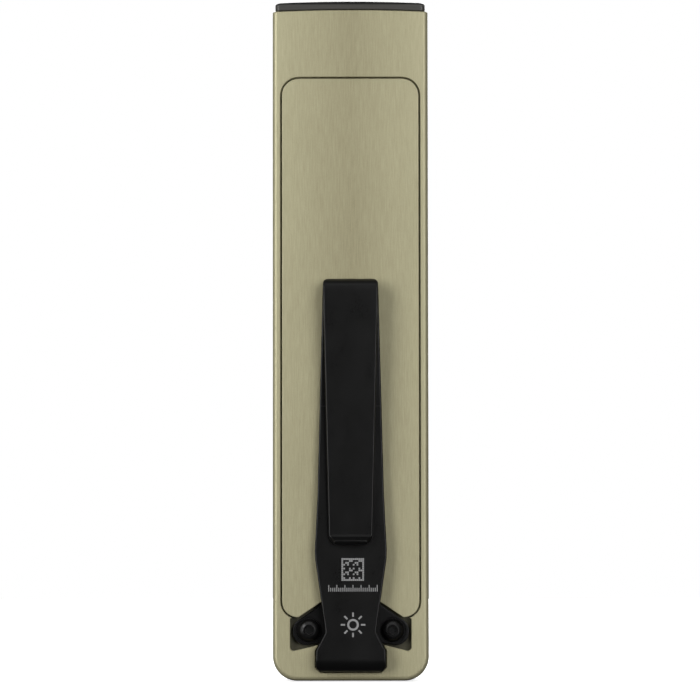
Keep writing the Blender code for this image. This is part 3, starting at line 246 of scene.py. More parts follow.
class Signal:  # one output of a node, so that shader maths reads as plain maths
    def __init__(self, finish, socket):
        self.finish = finish
        self.socket = socket

    def maths(self, operation, first, second=0.0, third=0.0):
        return self.finish.node("ShaderNodeMath", {"operation": operation}, {0: first, 1: second, 2: third})

    def __add__(self, other):
        return self.maths("ADD", self, other)

    def __sub__(self, other):
        return self.maths("SUBTRACT", self, other)

    def __rsub__(self, other):
        return self.maths("SUBTRACT", other, self)

    def __mul__(self, other):
        return self.maths("MULTIPLY", self, other)

    def __truediv__(self, other):
        return self.maths("DIVIDE", self, other)

    def __pow__(self, other):
        return self.maths("POWER", self, other)

    def __abs__(self):
        return self.maths("ABSOLUTE", self)

    __radd__ = __add__
    __rmul__ = __mul__


class Finish:  # a material being mixed
    def __init__(self, name):
        self.material = bpy.data.materials.new(name)
        self.material.use_nodes = True
        self.tree = self.material.node_tree
        self.tree.nodes.clear()
        self.place = self.node("ShaderNodeTexCoord", output="Object")

    def node(self, kind, settings=None, sockets=None, output=0):
        made = self.tree.nodes.new(kind)
        for name, value in (settings or {}).items():
            if name == "stops":
                while len(made.color_ramp.elements) < len(value):
                    made.color_ramp.elements.new(0.5)
                for stop, (position, grey) in zip(made.color_ramp.elements, value):
                    stop.position = position
                    stop.color = (grey, grey, grey, 1)
            else:
                setattr(made, name, value)
        for name, value in (sockets or {}).items():
            if isinstance(value, Signal):
                self.tree.links.new(value.socket, made.inputs[name])
            else:
                made.inputs[name].default_value = value
        return Signal(self, made.outputs[output]) if made.outputs else None

    def noise(self, size, detail=2.0, stretch=(1, 1, 1), rough=0.5):
        # cloud-like variation from 0 to 1, whose features are about size mm across
        scale = tuple(1 / (size * mm * part) for part in stretch)
        spot = self.node("ShaderNodeMapping", None, {"Vector": self.place, "Scale": scale})
        return self.node(
            "ShaderNodeTexNoise", None, {"Vector": spot, "Scale": 1.0, "Detail": detail, "Roughness": rough}
        )

    def ramp(self, value, low, high):
        return self.node("ShaderNodeMapRange", None, {"Value": value, "From Min": low, "From Max": high})

    def blend(self, factor, first, second, kind="MIX"):
        settings = {"data_type": "RGBA", "blend_type": kind}
        return self.node("ShaderNodeMix", settings, {0: factor, 6: first, 7: second}, 2)

    def coordinate(self, axis):
        return self.node("ShaderNodeSeparateXYZ", None, {"Vector": self.place}, axis)

    def bump(self, height, depth, strength=1.0):
        return self.node(
            "ShaderNodeBump", None, {"Height": height, "Distance": depth * mm, "Strength": strength}, "Normal"
        )

    def finished(self, **sockets):
        named = {name.replace("_", " "): value for name, value in sockets.items()}
        shader = self.node("ShaderNodeBsdfPrincipled", None, named, "BSDF")
        self.node("ShaderNodeOutputMaterial", None, {"Surface": shader})
        return self.material


def rgb(red, green, blue):  # screen values from 0 to 255, as linear colour
    def linear(value):
        share = value / 255
        return share / 12.92 if share <= 0.04045 else ((share + 0.055) / 1.055) ** 2.4

    return (linear(red), linear(green), linear(blue), 1)


def anodisedFinish():
    # blasted, brushed and anodised aluminium: a fine grain that runs along the body
    look = {
        "pale": rgb(180, 175, 142),
        "deep": rgb(136, 129, 99),
        # painted shade colour for the clip's pocket
        "pocket": rgb(52, 50, 36),
        "grain": (0.16, 0.16, 3.2),
        "speckle": 0.13,
    }
    finish = Finish("anodisedAluminium")
    streaks = finish.noise(1.0, 3, look["grain"], 0.6)
    speckle = finish.noise(look["speckle"], 2)
    clouds = finish.noise(9.0, 2, (1, 1, 3))
    # band is painted shading that lifts towards the sides
    band = finish.ramp(abs(finish.coordinate("X")), 0.0, 11.5 * mm)
    tone = band * 0.42 + streaks * 0.8 + speckle * 0.45 + clouds * 0.3 - 0.45
    across, deep, up = (finish.coordinate(axis) for axis in ("X", "Y", "Z"))
    # painted shade: the rear's sunk faces inside the clip's pocket are darkened in the base colour
    sunk = finish.ramp(deep, -7.55 * mm, -7.1 * mm) * finish.ramp(deep, 0.1 * mm, 0.0)
    pocket = sunk * finish.ramp(abs(across), 10.4 * mm, 10.2 * mm) * finish.ramp(up, 15.5 * mm, 15.0 * mm)
    colour = finish.blend(tone, look["deep"], look["pale"])
    return finish.finished(
        Base_Color=finish.blend(pocket * 0.9, colour, look["pocket"]),  # painted shade, not a second coat
        Metallic=0.3,
        Roughness=0.46 + (speckle - 0.5) * 0.16 + (streaks - 0.5) * 0.1,
        Normal=finish.bump(streaks * 0.6 + speckle, 0.012, 0.5),
    )


def coatedSteelFinish(name, dark, pale, roughness, shine):
    # a thin dark coat over steel, with the faint orange peel such coats have
    finish = Finish(name)
    peel = finish.noise(0.09, 2)
    wear = finish.noise(3.5, 4, (1, 1, 1.6))
    return finish.finished(
        Base_Color=finish.blend(wear * 0.7 + peel * 0.3, dark, pale),
        Specular_IOR_Level=shine,
        Roughness=roughness + (wear - 0.5) * 0.12 + (peel - 0.5) * 0.08,
        Normal=finish.bump(peel, 0.006, 0.35),
    )


def bezelFinish():
    # black anodised ring; the darker lip is painted shading, not a second finish
    dark, pale = rgb(3, 3, 3), rgb(66, 65, 62)
    finish = Finish("bezelAnodise")
    wear = finish.noise(1.2, 4, (2.5, 2.5, 0.5))
    lip = finish.ramp(finish.coordinate("Z"), 111.35 * mm, 111.6 * mm)
    return finish.finished(
        Base_Color=finish.blend(lip * 0.95 + wear * 0.3 - 0.12, pale, dark),
        Specular_IOR_Level=0.3,
        Roughness=0.34 + (wear - 0.5) * 0.2,
        Normal=finish.bump(wear, 0.004, 0.3),
    )


def metalFinish(name, dark, pale, roughness, stretch=(1, 1, 1)):
    finish = Finish(name)
    scratches = finish.noise(0.25, 3, stretch)
    clouds = finish.noise(2.0, 2)
    return finish.finished(
        Base_Color=finish.blend(clouds, dark, pale),
        Metallic=1.0,
        Roughness=roughness + (scratches - 0.5) * 0.2,
        Normal=finish.bump(scratches, 0.004, 0.3),
    )


def plasticFinish(name, dark, pale, roughness, grain=0.2):
    finish = Finish(name)
    texture = finish.noise(grain, 3)
    clouds = finish.noise(4.0, 2)
    return finish.finished(
        Base_Color=finish.blend(clouds, dark, pale),
        Roughness=roughness + (texture - 0.5) * 0.18,
        Normal=finish.bump(texture, 0.01, 0.3),
    )


def clearFinish(name, tint, ior, roughness):
    finish = Finish(name)
    smudge = finish.noise(5.0, 4)
    return finish.finished(
        Base_Color=finish.blend(smudge, tint, (1, 1, 1, 1)),
        Roughness=roughness + finish.ramp(smudge, 0.5, 0.8) * 0.05,
        Transmission_Weight=1.0,
        IOR=ior,
    )


def boardFinish():
    # solder mask with copper traces under it
    finish = Finish("circuitBoard")
    spot = finish.node("ShaderNodeMapping", None, {"Vector": finish.place, "Scale": (900, 900, 900)})
    cells = finish.node("ShaderNodeTexVoronoi", {"feature": "DISTANCE_TO_EDGE"}, {"Vector": spot, "Scale": 1.0})
    trace = finish.ramp(cells, 0.08, 0.1)
    return finish.finished(
        Base_Color=finish.blend(trace, rgb(28, 92, 60), rgb(12, 58, 36)),
        Roughness=0.42 + trace * 0.1,
        Normal=finish.bump(1 - trace, 0.03, 0.4),
    )


def wireFinish(name, dark, pale):
    finish = Finish(name)
    clouds = finish.noise(1.2, 3)
    return finish.finished(
        Base_Color=finish.blend(clouds, dark, pale),
        Roughness=0.38 + clouds * 0.15,
        Normal=finish.bump(clouds, 0.02, 0.2),
    )


def emitterFinish():
    # a yellow phosphor square on a white ceramic base
    low, high = boxOf("led_emitter")
    middle = (low + high) / 2
    finish = Finish("emitterCeramic")
    off = abs(finish.coordinate("X") - middle.x * mm)
    up = abs(finish.coordinate("Y") - middle.y * mm)
    farther = finish.node("ShaderNodeMath", {"operation": "MAXIMUM"}, {0: off, 1: up})
    inside = finish.ramp(farther, 1.1 * mm, 1.0 * mm)
    dust = finish.noise(0.12, 3)
    phosphor = finish.blend(dust, rgb(224, 196, 60), rgb(240, 220, 110))
    return finish.finished(
        Base_Color=finish.blend(inside, rgb(228, 228, 222), phosphor),
        Roughness=0.35 + dust * 0.2,
        Normal=finish.bump(dust, 0.01, 0.3),
    )


def etchFinish():
    # the frosted grey that a laser leaves in a dark coat
    finish = Finish("laserEtch")
    frost = finish.noise(0.06, 3)
    return finish.finished(
        Base_Color=finish.blend(frost, rgb(104, 104, 104), rgb(176, 176, 176)),
        Metallic=0.2,
        Roughness=0.6 + frost * 0.2,
        Normal=finish.bump(frost, 0.005, 0.4),
    )


print("finishes")
anodised = anodisedFinish()
clipBlack = coatedSteelFinish("clipCoat", rgb(8, 8, 8), rgb(16, 16, 16), 0.3, 0.25)
screwBlack = coatedSteelFinish("screwCoat", rgb(8, 8, 8), rgb(18, 18, 18), 0.28, 0.4)
bezelBlack = bezelFinish()
dialBlack = coatedSteelFinish("dialAnodise", rgb(20, 20, 21), rgb(34, 33, 34), 0.3, 0.5)
etched = etchFinish()
steel = metalFinish("springSteel", (0.5, 0.5, 0.5, 1), (0.62, 0.62, 0.63, 1), 0.28)
gilt = metalFinish("goldPlating", (0.82, 0.56, 0.24, 1), (0.95, 0.7, 0.36, 1), 0.22)
foil = metalFinish("batteryFoil", (0.42, 0.44, 0.47, 1), (0.6, 0.62, 0.65, 1), 0.34, (1, 1, 4))
blackPlastic = plasticFinish("mouldedBlack", rgb(24, 24, 25), rgb(38, 38, 40), 0.5)
whitePlastic = plasticFinish("mouldedWhite", rgb(214, 214, 208), rgb(236, 236, 232), 0.42)
rubber = plasticFinish("siliconeRubber", rgb(26, 26, 26), rgb(44, 44, 44), 0.75, 0.1)
foam = plasticFinish("foamPad", rgb(86, 86, 90), rgb(122, 122, 126), 0.92, 0.35)
glass = clearFinish("windowGlass", (0.93, 0.97, 0.95, 1), 1.5, 0.01)
clear = clearFinish("clearAcrylic", (0.96, 0.97, 0.98, 1), 1.49, 0.02)
board = boardFinish()
redWire = wireFinish("redInsulation", rgb(150, 18, 16), rgb(190, 30, 26))
blackWire = wireFinish("blackInsulation", rgb(18, 18, 18), rgb(40, 40, 40))
ceramic = emitterFinish()

carried = {  # design nodes whose own shape stays, by finish
    ("rubber", rubber): ["cover_gasket", "window_seal", "switch_boot"],
    ("foam", foam): ["thermal_pad", "battery_pad_front", "battery_pad_rear"],
    ("circuit_board", board): ["led_board", "driver_board", "battery_guard_board", "charge_board"],
    ("white_plastic", ceramic): ["led_emitter"],
    ("white_plastic", whitePlastic): [f"indicator_led_{number}" for number in (1, 2, 3, 4)],
    ("black_plastic", blackPlastic): ["tact_switch", "driver_inductor", "driver_chip", "position_sensor"],
    ("steel", steel): [
        "selector_magnet",
        "detent_spring",
        "hub_clip",
        "board_screw_1",
        "board_screw_2",
        "tail_magnet",
    ],
    ("battery_foil", foil): ["battery_cell", "driver_capacitor"],
    ("copper_gold", gilt): ["laser_barrel"],
    ("wire_red", redWire): ["charge_lead_plus", "battery_lead_plus", "led_lead_plus", "laser_lead"],
    ("wire_black", blackWire): ["charge_lead_minus", "battery_lead_minus", "led_lead_minus"],
}
for (slot, finish), names in carried.items():
    for name in names:
        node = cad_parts[name]
        node.data.materials.clear()
        node.data.materials.append(finish)


# body and rear cover

bodyLow, bodyHigh = boxOf("body_shell")
coverLow, coverHigh = boxOf("rear_cover")
dial = middleOf("selector_hub")
indicator = middleOf("indicator_lens")
laser = middleOf("laser_barrel")
ring = boxOf("selector_ring")
tailPlateBox = boxOf("tail_plate")
screwSpots = {side: middleOf(f"clip_screw_{side}") for side in ("left", "right")}

bodySizes = {
    "tailCorner": 4.0,
    "edgeRound": 0.8,
    "headRound": 0.22,
    "archDrop": 0.3,  # how far the head's ends fall below its middle
    "archFrom": 101.5,
    "rim": 0.1,
    "recessDepth": 1.64,
    "coverGap": 0.26,
    "coverCorner": 2.8,
    "tailCoverCorner": 2.56,
    "notchFoot": 8.6,
    "notchFlat": 3.0,
    "notchRise": math.tan(math.radians(33.7)),
    "pocketDepth": 1.72,
    "ledge": 1.7,
    "faceWall": 1.5,
    "sinkDepth": 0.8,
    "sinkPlay": 0.3,
    "headFloor": 101.2,
    "bulkhead": 3.7,
}


def archOver(piece):
    # lowers the ends of the head so that its top is a shallow arch, on extra columns of points
    size = bodySizes
    shape = bmesh.new()
    shape.from_mesh(piece.data)
    foot = size["archFrom"] * mm
    everything = shape.verts[:] + shape.edges[:] + shape.faces[:]
    bmesh.ops.bisect_plane(shape, geom=everything, plane_co=(0, 0, foot), plane_no=(0, 0, 1))
    for column in range(-8, 9):
        across = column / 9 * bodyHigh.x * mm
        upper = [face for face in shape.faces if min(v.co.z for v in face.verts) > foot - 1e-6]
        edges = {edge for face in upper for edge in face.edges}
        corners = {vertex for face in upper for vertex in face.verts}
        above = [*upper, *edges, *corners]
        bmesh.ops.bisect_plane(shape, geom=above, plane_co=(across, 0, 0), plane_no=(1, 0, 0), dist=1e-6)
    for vertex in shape.verts:
        share = min(max((vertex.co.z - foot) / (bodyHigh.z * mm - foot), 0), 1)
        vertex.co.z -= size["archDrop"] * mm * share * (vertex.co.x / bodyHigh.x / mm) ** 2
    shape.to_mesh(piece.data)
    shape.free()


def coverCorners():
    size = bodySizes
    top = coverLow.z + (size["notchFoot"] - size["notchFlat"]) * size["notchRise"]
    return bothSides(
        [
            (size["notchFlat"], top, 0),
            (size["notchFoot"], coverLow.z, 0),
            (coverHigh.x, coverLow.z, size["tailCoverCorner"]),
            (coverHigh.x, coverHigh.z, size["coverCorner"]),
        ]
    )


def pocketCorners():
    # the clip's pocket: a throat at the tail that opens round the two ears
    side, throat, shoulder = 9.95, 5.85, 5.9
    size = bodySizes
    slope = coverLow.z + (size["notchFoot"] - side) * size["notchRise"]
    top = coverLow.z + (size["notchFoot"] - size["notchFlat"]) * size["notchRise"]
    return bothSides(
        [
            (throat - 0.85, 1.34, 0),
            (throat, 2.19, 0.3),
            (throat, shoulder - 0.95, 0.2),
            (throat - 0.6, shoulder, 0.15),
            (side, shoulder - 1.15, 0.6),
            (side, slope + 0.72, 0.3),
            (size["notchFoot"], coverLow.z + 0.1, 0),
            (size["notchFlat"], top + 0.1, 0),
        ]
    )


def makeBody():
    size = bodySizes
    half = bodyHigh.x
    tall = [
        (-half, bodyLow.z, size["tailCorner"]),
        (half, bodyLow.z, size["tailCorner"]),
        (half, bodyHigh.z + 2, 0),
        (-half, bodyHigh.z + 2, 0),
    ]
    edge = size["edgeRound"]
    body = slab("bodyShell", shaped(tall, 18), bodyLow.y, bodyHigh.y, alongY, edge, edge, 7)
    shape = bmesh.new()
    shape.from_mesh(body.data)
    everything = shape.verts[:] + shape.edges[:] + shape.faces[:]
    flat = (0, 0, bodyHigh.z * mm)
    bmesh.ops.bisect_plane(shape, geom=everything, plane_co=flat, plane_no=(0, 0, 1), clear_outer=True)
    rimEdges = [edge for edge in shape.edges if edge.is_boundary]
    bmesh.ops.contextual_create(shape, geom=rimEdges)
    offset = size["headRound"] * mm
    bmesh.ops.bevel(shape, geom=rimEdges, offset=offset, segments=3, profile=0.5, affect="EDGES")
    bmesh.ops.recalc_face_normals(shape, faces=shape.faces)
    shape.to_mesh(body.data)
    shape.free()

    rear, front, rim = bodyLow.y, bodyHigh.y, size["rim"]
    innerFront = front - size["faceWall"]
    floor = size["headFloor"]
    cavityHead = floor - size["bulkhead"]
    cavityTail = pocketCorners()[7][1] + 2.1
    cavityHalf = coverHigh.x + size["coverGap"] - size["ledge"]
    cavityMiddle = (cavityHead + cavityTail) / 2
    cut(body, sinker("recessTool", shaped(coverCornersWide()), rear, rear + size["recessDepth"], alongY, rim))
    cut(
        body,
        slab(
            "cavityTool",
            boxed(cavityHalf, cavityHead - cavityMiddle, 2, (0, cavityMiddle)),
            rear + past,
            innerFront,
        ),
    )
    cut(body, sinker("pocketTool", shaped(pocketCorners()), rear, rear + size["pocketDepth"], alongY, rim))
    wellX, wellY = half - size["faceWall"], front - size["faceWall"]
    cut(body, sinker("wellTool", boxed(wellX, wellY, 1.5), bodyHigh.z, floor, alongZ, rim))
    ringRadius = ring[1].x
    dialSpot = (0, dial.z)
    sinkFloor = front - size["sinkDepth"]
    leadSpot = (2.6 - cavityHalf, 1.8 - wellY)
    cut(
        body,
        slab("laserTool", circle(3.12, (laser.x, 0)), cavityHead - past, floor + past, alongZ),
        slab("leadTool", circle(1.3, leadSpot, 32), cavityHead - past, floor + past, alongZ),
        sinker("sinkTool", circle(ringRadius + size["sinkPlay"], dialSpot, 128), front, sinkFloor, alongY, rim),
    )
    cut(
        body,
        slab("hubTool", circle(5.75, dialSpot, 96), innerFront - past, front + past),
        sinker("slotTool", boxed(3.3, 0.6, 0.58, (0, indicator.z)), front, innerFront - past, alongY, 0.08),
        sinker("tailTool", tailShape(0.12), bodyLow.z, tailPlateBox[1].z + 0.12, alongZ, 0.08),
    )
    magnetHead = boxOf("charge_board")[1].z + 0.4
    cut(
        body,
        slab("magnetTool", circle(5.05, (0, 0), 96), past, magnetHead, alongZ),
        slab("cableTool", circle(1.5, (0, 0), 32), magnetHead - past, cavityTail + past, alongZ),
    )
    for side, spot in screwSpots.items():
        cut(body, slab(f"{side}Hole", circle(1.25, (spot.x, spot.z), 40), rear + past, rear + 6.2))
    for number in (1, 2):
        spot = middleOf(f"board_screw_{number}")
        at = (spot.x, spot.z)
        tip = boxOf("driver_board")[1].y + 0.12
        join(body, slab(f"boss{number}", circle(1.35, at, 32), tip, innerFront + 0.5))
        cut(body, slab(f"bossHole{number}", circle(0.7, at, 24), tip - past, innerFront + 0.3))
    archOver(body)
    dress(body, anodised, stands=["body_shell"], sharp=28)


def coverCornersWide():
    # the recess round the cover: its outline grown by the gap, corner by corner
    gap = bodySizes["coverGap"]
    half = coverHigh.x + gap
    top = coverCorners()[0][1] - gap
    shift = gap * math.tan(math.radians(33.7) / 2)
    size = bodySizes
    return bothSides(
        [
            (size["notchFlat"] - shift, top, 0),
            (size["notchFoot"] - shift, coverLow.z - gap, 0),
            (half, coverLow.z - gap, size["tailCoverCorner"] + gap),
            (half, coverHigh.z + gap, size["coverCorner"] + gap),
        ]
    )


def tailShape(margin):
    high = tailPlateBox[1]
    return boxed(high.x + margin, high.y + margin, high.y + margin - 0.02, (0, 0), 24)


def makeCover():
    cover = slab("rearCover", shaped(coverCorners(), 12), coverLow.y, coverHigh.y, alongY, 0.12, 0, 3)
    dress(cover, anodised, stands=["rear_cover"], sharp=50)


print("body")
makeBody()
print("rear cover")
makeCover()


# head: bezel, window and optics


def makeBezel():
    # one ring of sections: flange outside, rounded top, opening, lip, bore and spigot
    low, high = boxOf("bezel")
    size = {"edge": 0.5, "corner": 0.75, "open": (9.47, 4.57, 1.2), "bore": (10.65, 5.75, 1.0), "lip": 1.0}
    flangeZ = bodyHigh.z + 0.15
    openX, openY, openCorner = size["open"]
    boreX, boreY, boreCorner = size["bore"]
    sections = [
        (high.x - 0.1, high.y - 0.1, size["corner"] - 0.1, flangeZ),
        (high.x, high.y, size["corner"], flangeZ + 0.1),
    ]
    for step in range(7):
        angle = math.pi / 2 * step / 6
        inset = size["edge"] * (1 - math.cos(angle))
        level = high.z - size["edge"] * (1 - math.sin(angle))
        sections.append((high.x - inset, high.y - inset, size["corner"], level))
    sections += [
        (openX + 0.45, openY + 0.45, openCorner + 0.45, high.z),
        (openX + 0.1, openY + 0.1, openCorner + 0.1, high.z - 0.35),
        (openX, openY, openCorner, high.z - 0.5),
        (openX, openY, openCorner, high.z - size["lip"]),
        (boreX, boreY, boreCorner, high.z - size["lip"]),
        (boreX, boreY, boreCorner, low.z),
        (11.2, 6.1, 1.35, low.z),
        (11.2, 6.1, 1.35, flangeZ),
    ]
    rings = []
    for halfX, halfY, corner, level in sections:
        drop = bodySizes["archDrop"] if level > high.z - size["lip"] or halfX > boreX else 0
        drop = 0 if level == low.z else drop
        ringPoints = fine(boxed(halfX, halfY, corner, (0, 0), 6)(0), 16)
        rings.append([Vector((p.x, p.y, level - drop * (p.x / bodyHigh.x) ** 2)) for p in ringPoints])
    dress(shell("bezelRing", rings, True), bezelBlack, stands=["bezel"], sharp=35)


def fine(points, parts):
    # adds points along the long sides, so that a side can follow an arch
    result = []
    for index, point in enumerate(points):
        after = points[(index + 1) % len(points)]
        result.append(point)
        if (after - point).length > 2:
            result += [point.lerp(after, part / parts) for part in range(1, parts)]
    return result


def makeOptics():
    low, high = boxOf("window_glass")
    window = slab("windowGlass", boxed(high.x, high.y, 1.0), low.z, high.z, alongZ, 0.12, 0.12, 3)
    dress(window, glass, stands=["window_glass"])

    low, high = boxOf("optic_holder")
    lensLow, lensHigh = boxOf("beam_lens")
    lensSpot = ((lensLow.x + lensHigh.x) / 2, 0)
    lensRadius = (lensHigh.x - lensLow.x) / 2
    laserSpot = (laser.x, 0)
    holder = slab("opticHolder", boxed(high.x, high.y, 1.35), low.z, high.z, alongZ, 0.1, 0.2, 3)
    cut(
        holder,
        sinker("lensBore", circle(lensRadius + 0.15, lensSpot, 96), high.z, low.z - past, alongZ, 0.25),
        slab("barrelBore", circle(3.15, laserSpot, 64), low.z - past, high.z - 0.78, alongZ),
        sinker("aperture", circle(1.8, laserSpot, 64), high.z, low.z, alongZ, 0.3),
    )
    dress(holder, blackPlastic, stands=["optic_holder"])

    tall = lensHigh.z
    section = [
        (0, tall, 0),
        (lensRadius, tall, 0.15),
        (lensRadius, tall - 1.0, 0.1),
        (0.82 * lensRadius, lensLow.z + 2.45, 2),
        (2.6, lensLow.z, 0.1),
        (1.9, lensLow.z, 0),
        (1.75, lensLow.z + 1.9, 0),
        (0, lensLow.z + 2.1, 0),
    ]
    lens = lathe("beamLens", section, lensSpot, alongZ, 96, steps=6)
    dress(lens, clear, stands=["beam_lens"])

    low, high = boxOf("laser_lens")
    radius = high.x - laser.x
    section = [
        (0, high.z, 0),
        (0.5 * radius, high.z - 0.05, 1),
        (radius, high.z - 0.25, 0),
        (radius, low.z, 0),
        (0, low.z, 0),
    ]
    dress(lathe("laserLens", section, laserSpot, alongZ, 48), glass, stands=["laser_lens"])


# selector ring, its hub, the button and the indicator


def makeSelector():
    low, high = ring
    spot = (0, dial.z)
    size = {
        "bore": 5.75,
        "flangeSeat": 6.8,
        "seatDepth": 0.87,
        "scallops": 18,
        "scallop": 0.62,
        "groove": (6.6, 7.8, 0.35),
    }
    grooveIn, grooveOut, grooveDeep = size["groove"]
    section = [
        (high.x - 0.55, high.y, 0.12),
        (high.x, high.y - 0.42, 0.2),
        (high.x, low.y, 0.05),
        (grooveOut, low.y, 0),
        (grooveOut, low.y + grooveDeep, 0),
        (grooveIn, low.y + grooveDeep, 0),
        (grooveIn, low.y, 0),
        (size["bore"], low.y, 0.05),
        (size["bore"], high.y - size["seatDepth"], 0.05),
        (size["flangeSeat"], high.y - size["seatDepth"], 0.05),
        (size["flangeSeat"], high.y, 0.1),
    ]
    knob = lathe("selectorRing", section, spot, alongY, 150, True, 3)
    tools = []
    for index in range(size["scallops"]):
        angle = 2 * math.pi * (index + 0.5) / size["scallops"]
        reach = high.x + 0.25
        at = (reach * math.cos(angle), dial.z + reach * math.sin(angle))
        notch = circle(size["scallop"], at, 24, 0.07)
        tools.append(slab(f"scallop{index}", notch, bodyHigh.y + 0.15, high.y + past))
    magnetHigh = boxOf("selector_magnet")[1]
    magnet = middleOf("selector_magnet")
    seat = circle(0.55, (magnet.x, magnet.z), 24)
    tools.append(slab("magnetSeat", seat, low.y - past, magnetHigh.y + 0.12))
    cut(knob, *tools)
    dress(knob, dialBlack, "selector", ["selector_ring"], 30)

    mark = boxed(0.16, 0.42, 0.15, (0, dial.z + 7.5))
    pointer = slab("selectorPointer", mark, high.y - 0.05, high.y - 0.002, alongY, 0, 0.02, 2)
    dress(pointer, whitePlastic, "selector")

    hubLow, hubHigh = boxOf("selector_hub")
    clipLow, clipHigh = boxOf("hub_clip")
    bore, wide, stem, neck = 4.35, 4.9, 5.55, 5.2
    step = bodyHigh.y - bodySizes["faceWall"] - 0.53
    section = [
        (hubHigh.x, hubHigh.y, 0.18),
        (hubHigh.x, high.y - 0.75, 0.05),
        (stem, high.y - 0.75, 0),
        (stem, clipHigh.y + 0.1, 0),
        (neck, clipHigh.y + 0.1, 0),
        (neck, clipLow.y - 0.1, 0),
        (stem, clipLow.y - 0.1, 0),
        (stem, hubLow.y, 0.1),
        (wide, hubLow.y, 0),
        (wide, step, 0),
        (bore, step, 0),
        (bore, hubHigh.y, 0.18),
    ]
    hub = lathe("selectorHub", section, spot, alongY, 96, True, 3)
    dress(hub, dialBlack, stands=["selector_hub"], sharp=30)

    low, high = boxOf("switch_button")
    radius, cap = 4.2, high.y
    under = step - 0.12
    section = [
        (0, cap - 0.12, 0),
        (0.9, cap - 0.1, 1),
        (1.15, cap - 0.02, 0.1),
        (1.9, cap, 0.6),
        (radius - 0.5, cap - 0.16, 2),
        (radius, cap - 0.4, 0.3),
        (radius, under, 0),
        (high.x, under, 0),
        (high.x, low.y, 0.1),
        (0, low.y, 0),
    ]
    button = lathe("switchButton", section, spot, alongY, 96)
    dress(button, dialBlack, "button", ["switch_button"], 30)

    for index, turn in enumerate((-45, 0, 45)):
        angle = math.radians(90 + turn)
        at = (10.2 * math.cos(angle), dial.z + 10.2 * math.sin(angle))
        disc = circle(0.3, at, 32)
        dot = slab(f"dialDot{index + 1}", disc, bodyHigh.y - 0.05, bodyHigh.y - 0.001, alongY, 0, 0)
        dress(dot, whitePlastic)


def makeIndicator():
    low, high = boxOf("indicator_lens")
    middle = (0, indicator.z)
    lens = slab("indicatorLens", boxed(3.2, 0.5, 0.48, middle), low.y + 0.1, high.y, alongY, 0, 0.12, 3)
    flange = slab("lensFlange", boxed(high.x, high.z - indicator.z, 1.0, middle), low.y, low.y + 0.78)
    join(lens, flange)
    dress(lens, clear, stands=["indicator_lens"])


# tail


def makeTail():
    high = tailPlateBox[1]
    plate = slab("tailPlate", tailShape(0), 0, high.z, alongZ, 0.1, 0, 3)
    cut(plate, slab("contactTool", circle(4.35, (0, 0), 96), -past, high.z + past, alongZ))
    ribIn, ribOut, ribHalf = 4.6, 7.6, math.radians(28)
    ribs = []
    for name, side in (("ribRight", 0), ("ribLeft", math.pi)):
        arcs = [side + ribHalf * (step / 8 - 1) for step in range(17)]
        outer = [Vector((ribOut * math.cos(a), ribOut * math.sin(a))) for a in arcs]
        inner = [Vector((ribIn * math.cos(a), ribIn * math.sin(a))) for a in reversed(arcs)]
        levels = ((0.94, tailPlateBox[0].z), (1.0, tailPlateBox[0].z + 0.12), (1.0, 0.5))
        middle = Vector(((ribIn + ribOut) / 2 * math.cos(side), 0))
        rings = []
        for share, level in levels:
            rings.append([alongZ(*(middle + (p - middle) * share), level) for p in outer + inner])
        ribs.append(shell(name, rings))
    join(plate, *ribs)
    dress(plate, blackPlastic, stands=["tail_plate"], sharp=30)

    head = boxOf("contact_ring")[1].z
    band = [(4.2, 0, 0.12), (4.2, head, 0), (2.75, head, 0), (2.75, 0, 0.12)]
    contact = lathe("contactRing", band, lay=alongZ, sides=96, hollow=True)
    dress(contact, gilt, stands=["contact_ring"])
    collar = [(2.6, 0, 0.08), (2.6, head, 0), (1.75, head, 0), (1.75, 0, 0.08)]
    insulator = lathe("contactInsulator", collar, lay=alongZ, sides=96, hollow=True)
    dress(insulator, whitePlastic, stands=["contact_insulator"])
    top = boxOf("contact_pin")[1].z
    post = [(0, top, 0), (0.9, top, 0), (0.9, 0.9, 0), (1.6, 0.9, 0), (1.6, 0, 0.15), (0, 0, 0)]
    dress(lathe("contactPin", post, lay=alongZ, sides=64), gilt, stands=["contact_pin"])


# clip: one strip of spring steel, folded twice

clipSizes = {
    "sheet": 0.9,
    "edge": 0.24,
    "sink": 0.7,
    "tailBend": 1.6,
    "topBend": 1.35,
    "lean": math.radians(1.326),
    "seam": 45.0,  # height at which the arm's two pieces meet, behind the outer arm
    "lipBend": 1.2,
    "lipTurn": math.radians(55),
    "lipRun": 0.9,
    "crease": 24.1,
    "rootSeam": 4.7,
    "strapEdge": [
        (5.75, 1.5, 1.0),
        (5.72, 5.1, 1.4),
        (4.1, 7.9, 1.2),
        (5.95, 20.6, 4.0),
        (5.45, 30.5, 6.0),
        (4.55, 65.85, 0.6),
    ],
    "armEdge": [(3.58, 22.2, 1.6), (3.64, 26.0, 0), (4.5, 64.0, 0), (4.5, 65.85, 0.6)],
}
foldTop = boxOf("clip_arm")[1].z
foldZ = foldTop - clipSizes["topBend"] - clipSizes["sheet"] / 2
tailZ = boxOf("clip_base")[0].z + clipSizes["tailBend"] + clipSizes["sheet"] / 2
rearFace = bodyLow.y


def halfWidths(edge):
    # half the strip's width at a height, from its edge as drawn flat
    points = sorted((point.y, point.x) for point in outline(bothSides(edge), 0, 10) if point.x > 0)

    def at(height):
        height = min(max(height, points[0][0]), points[-1][0])
        for (low, first), (high, second) in zip(points, points[1:]):
            if height <= high:
                return first + (second - first) * (height - low) / max(high - low, 1e-6)
        return points[-1][1]

    return at


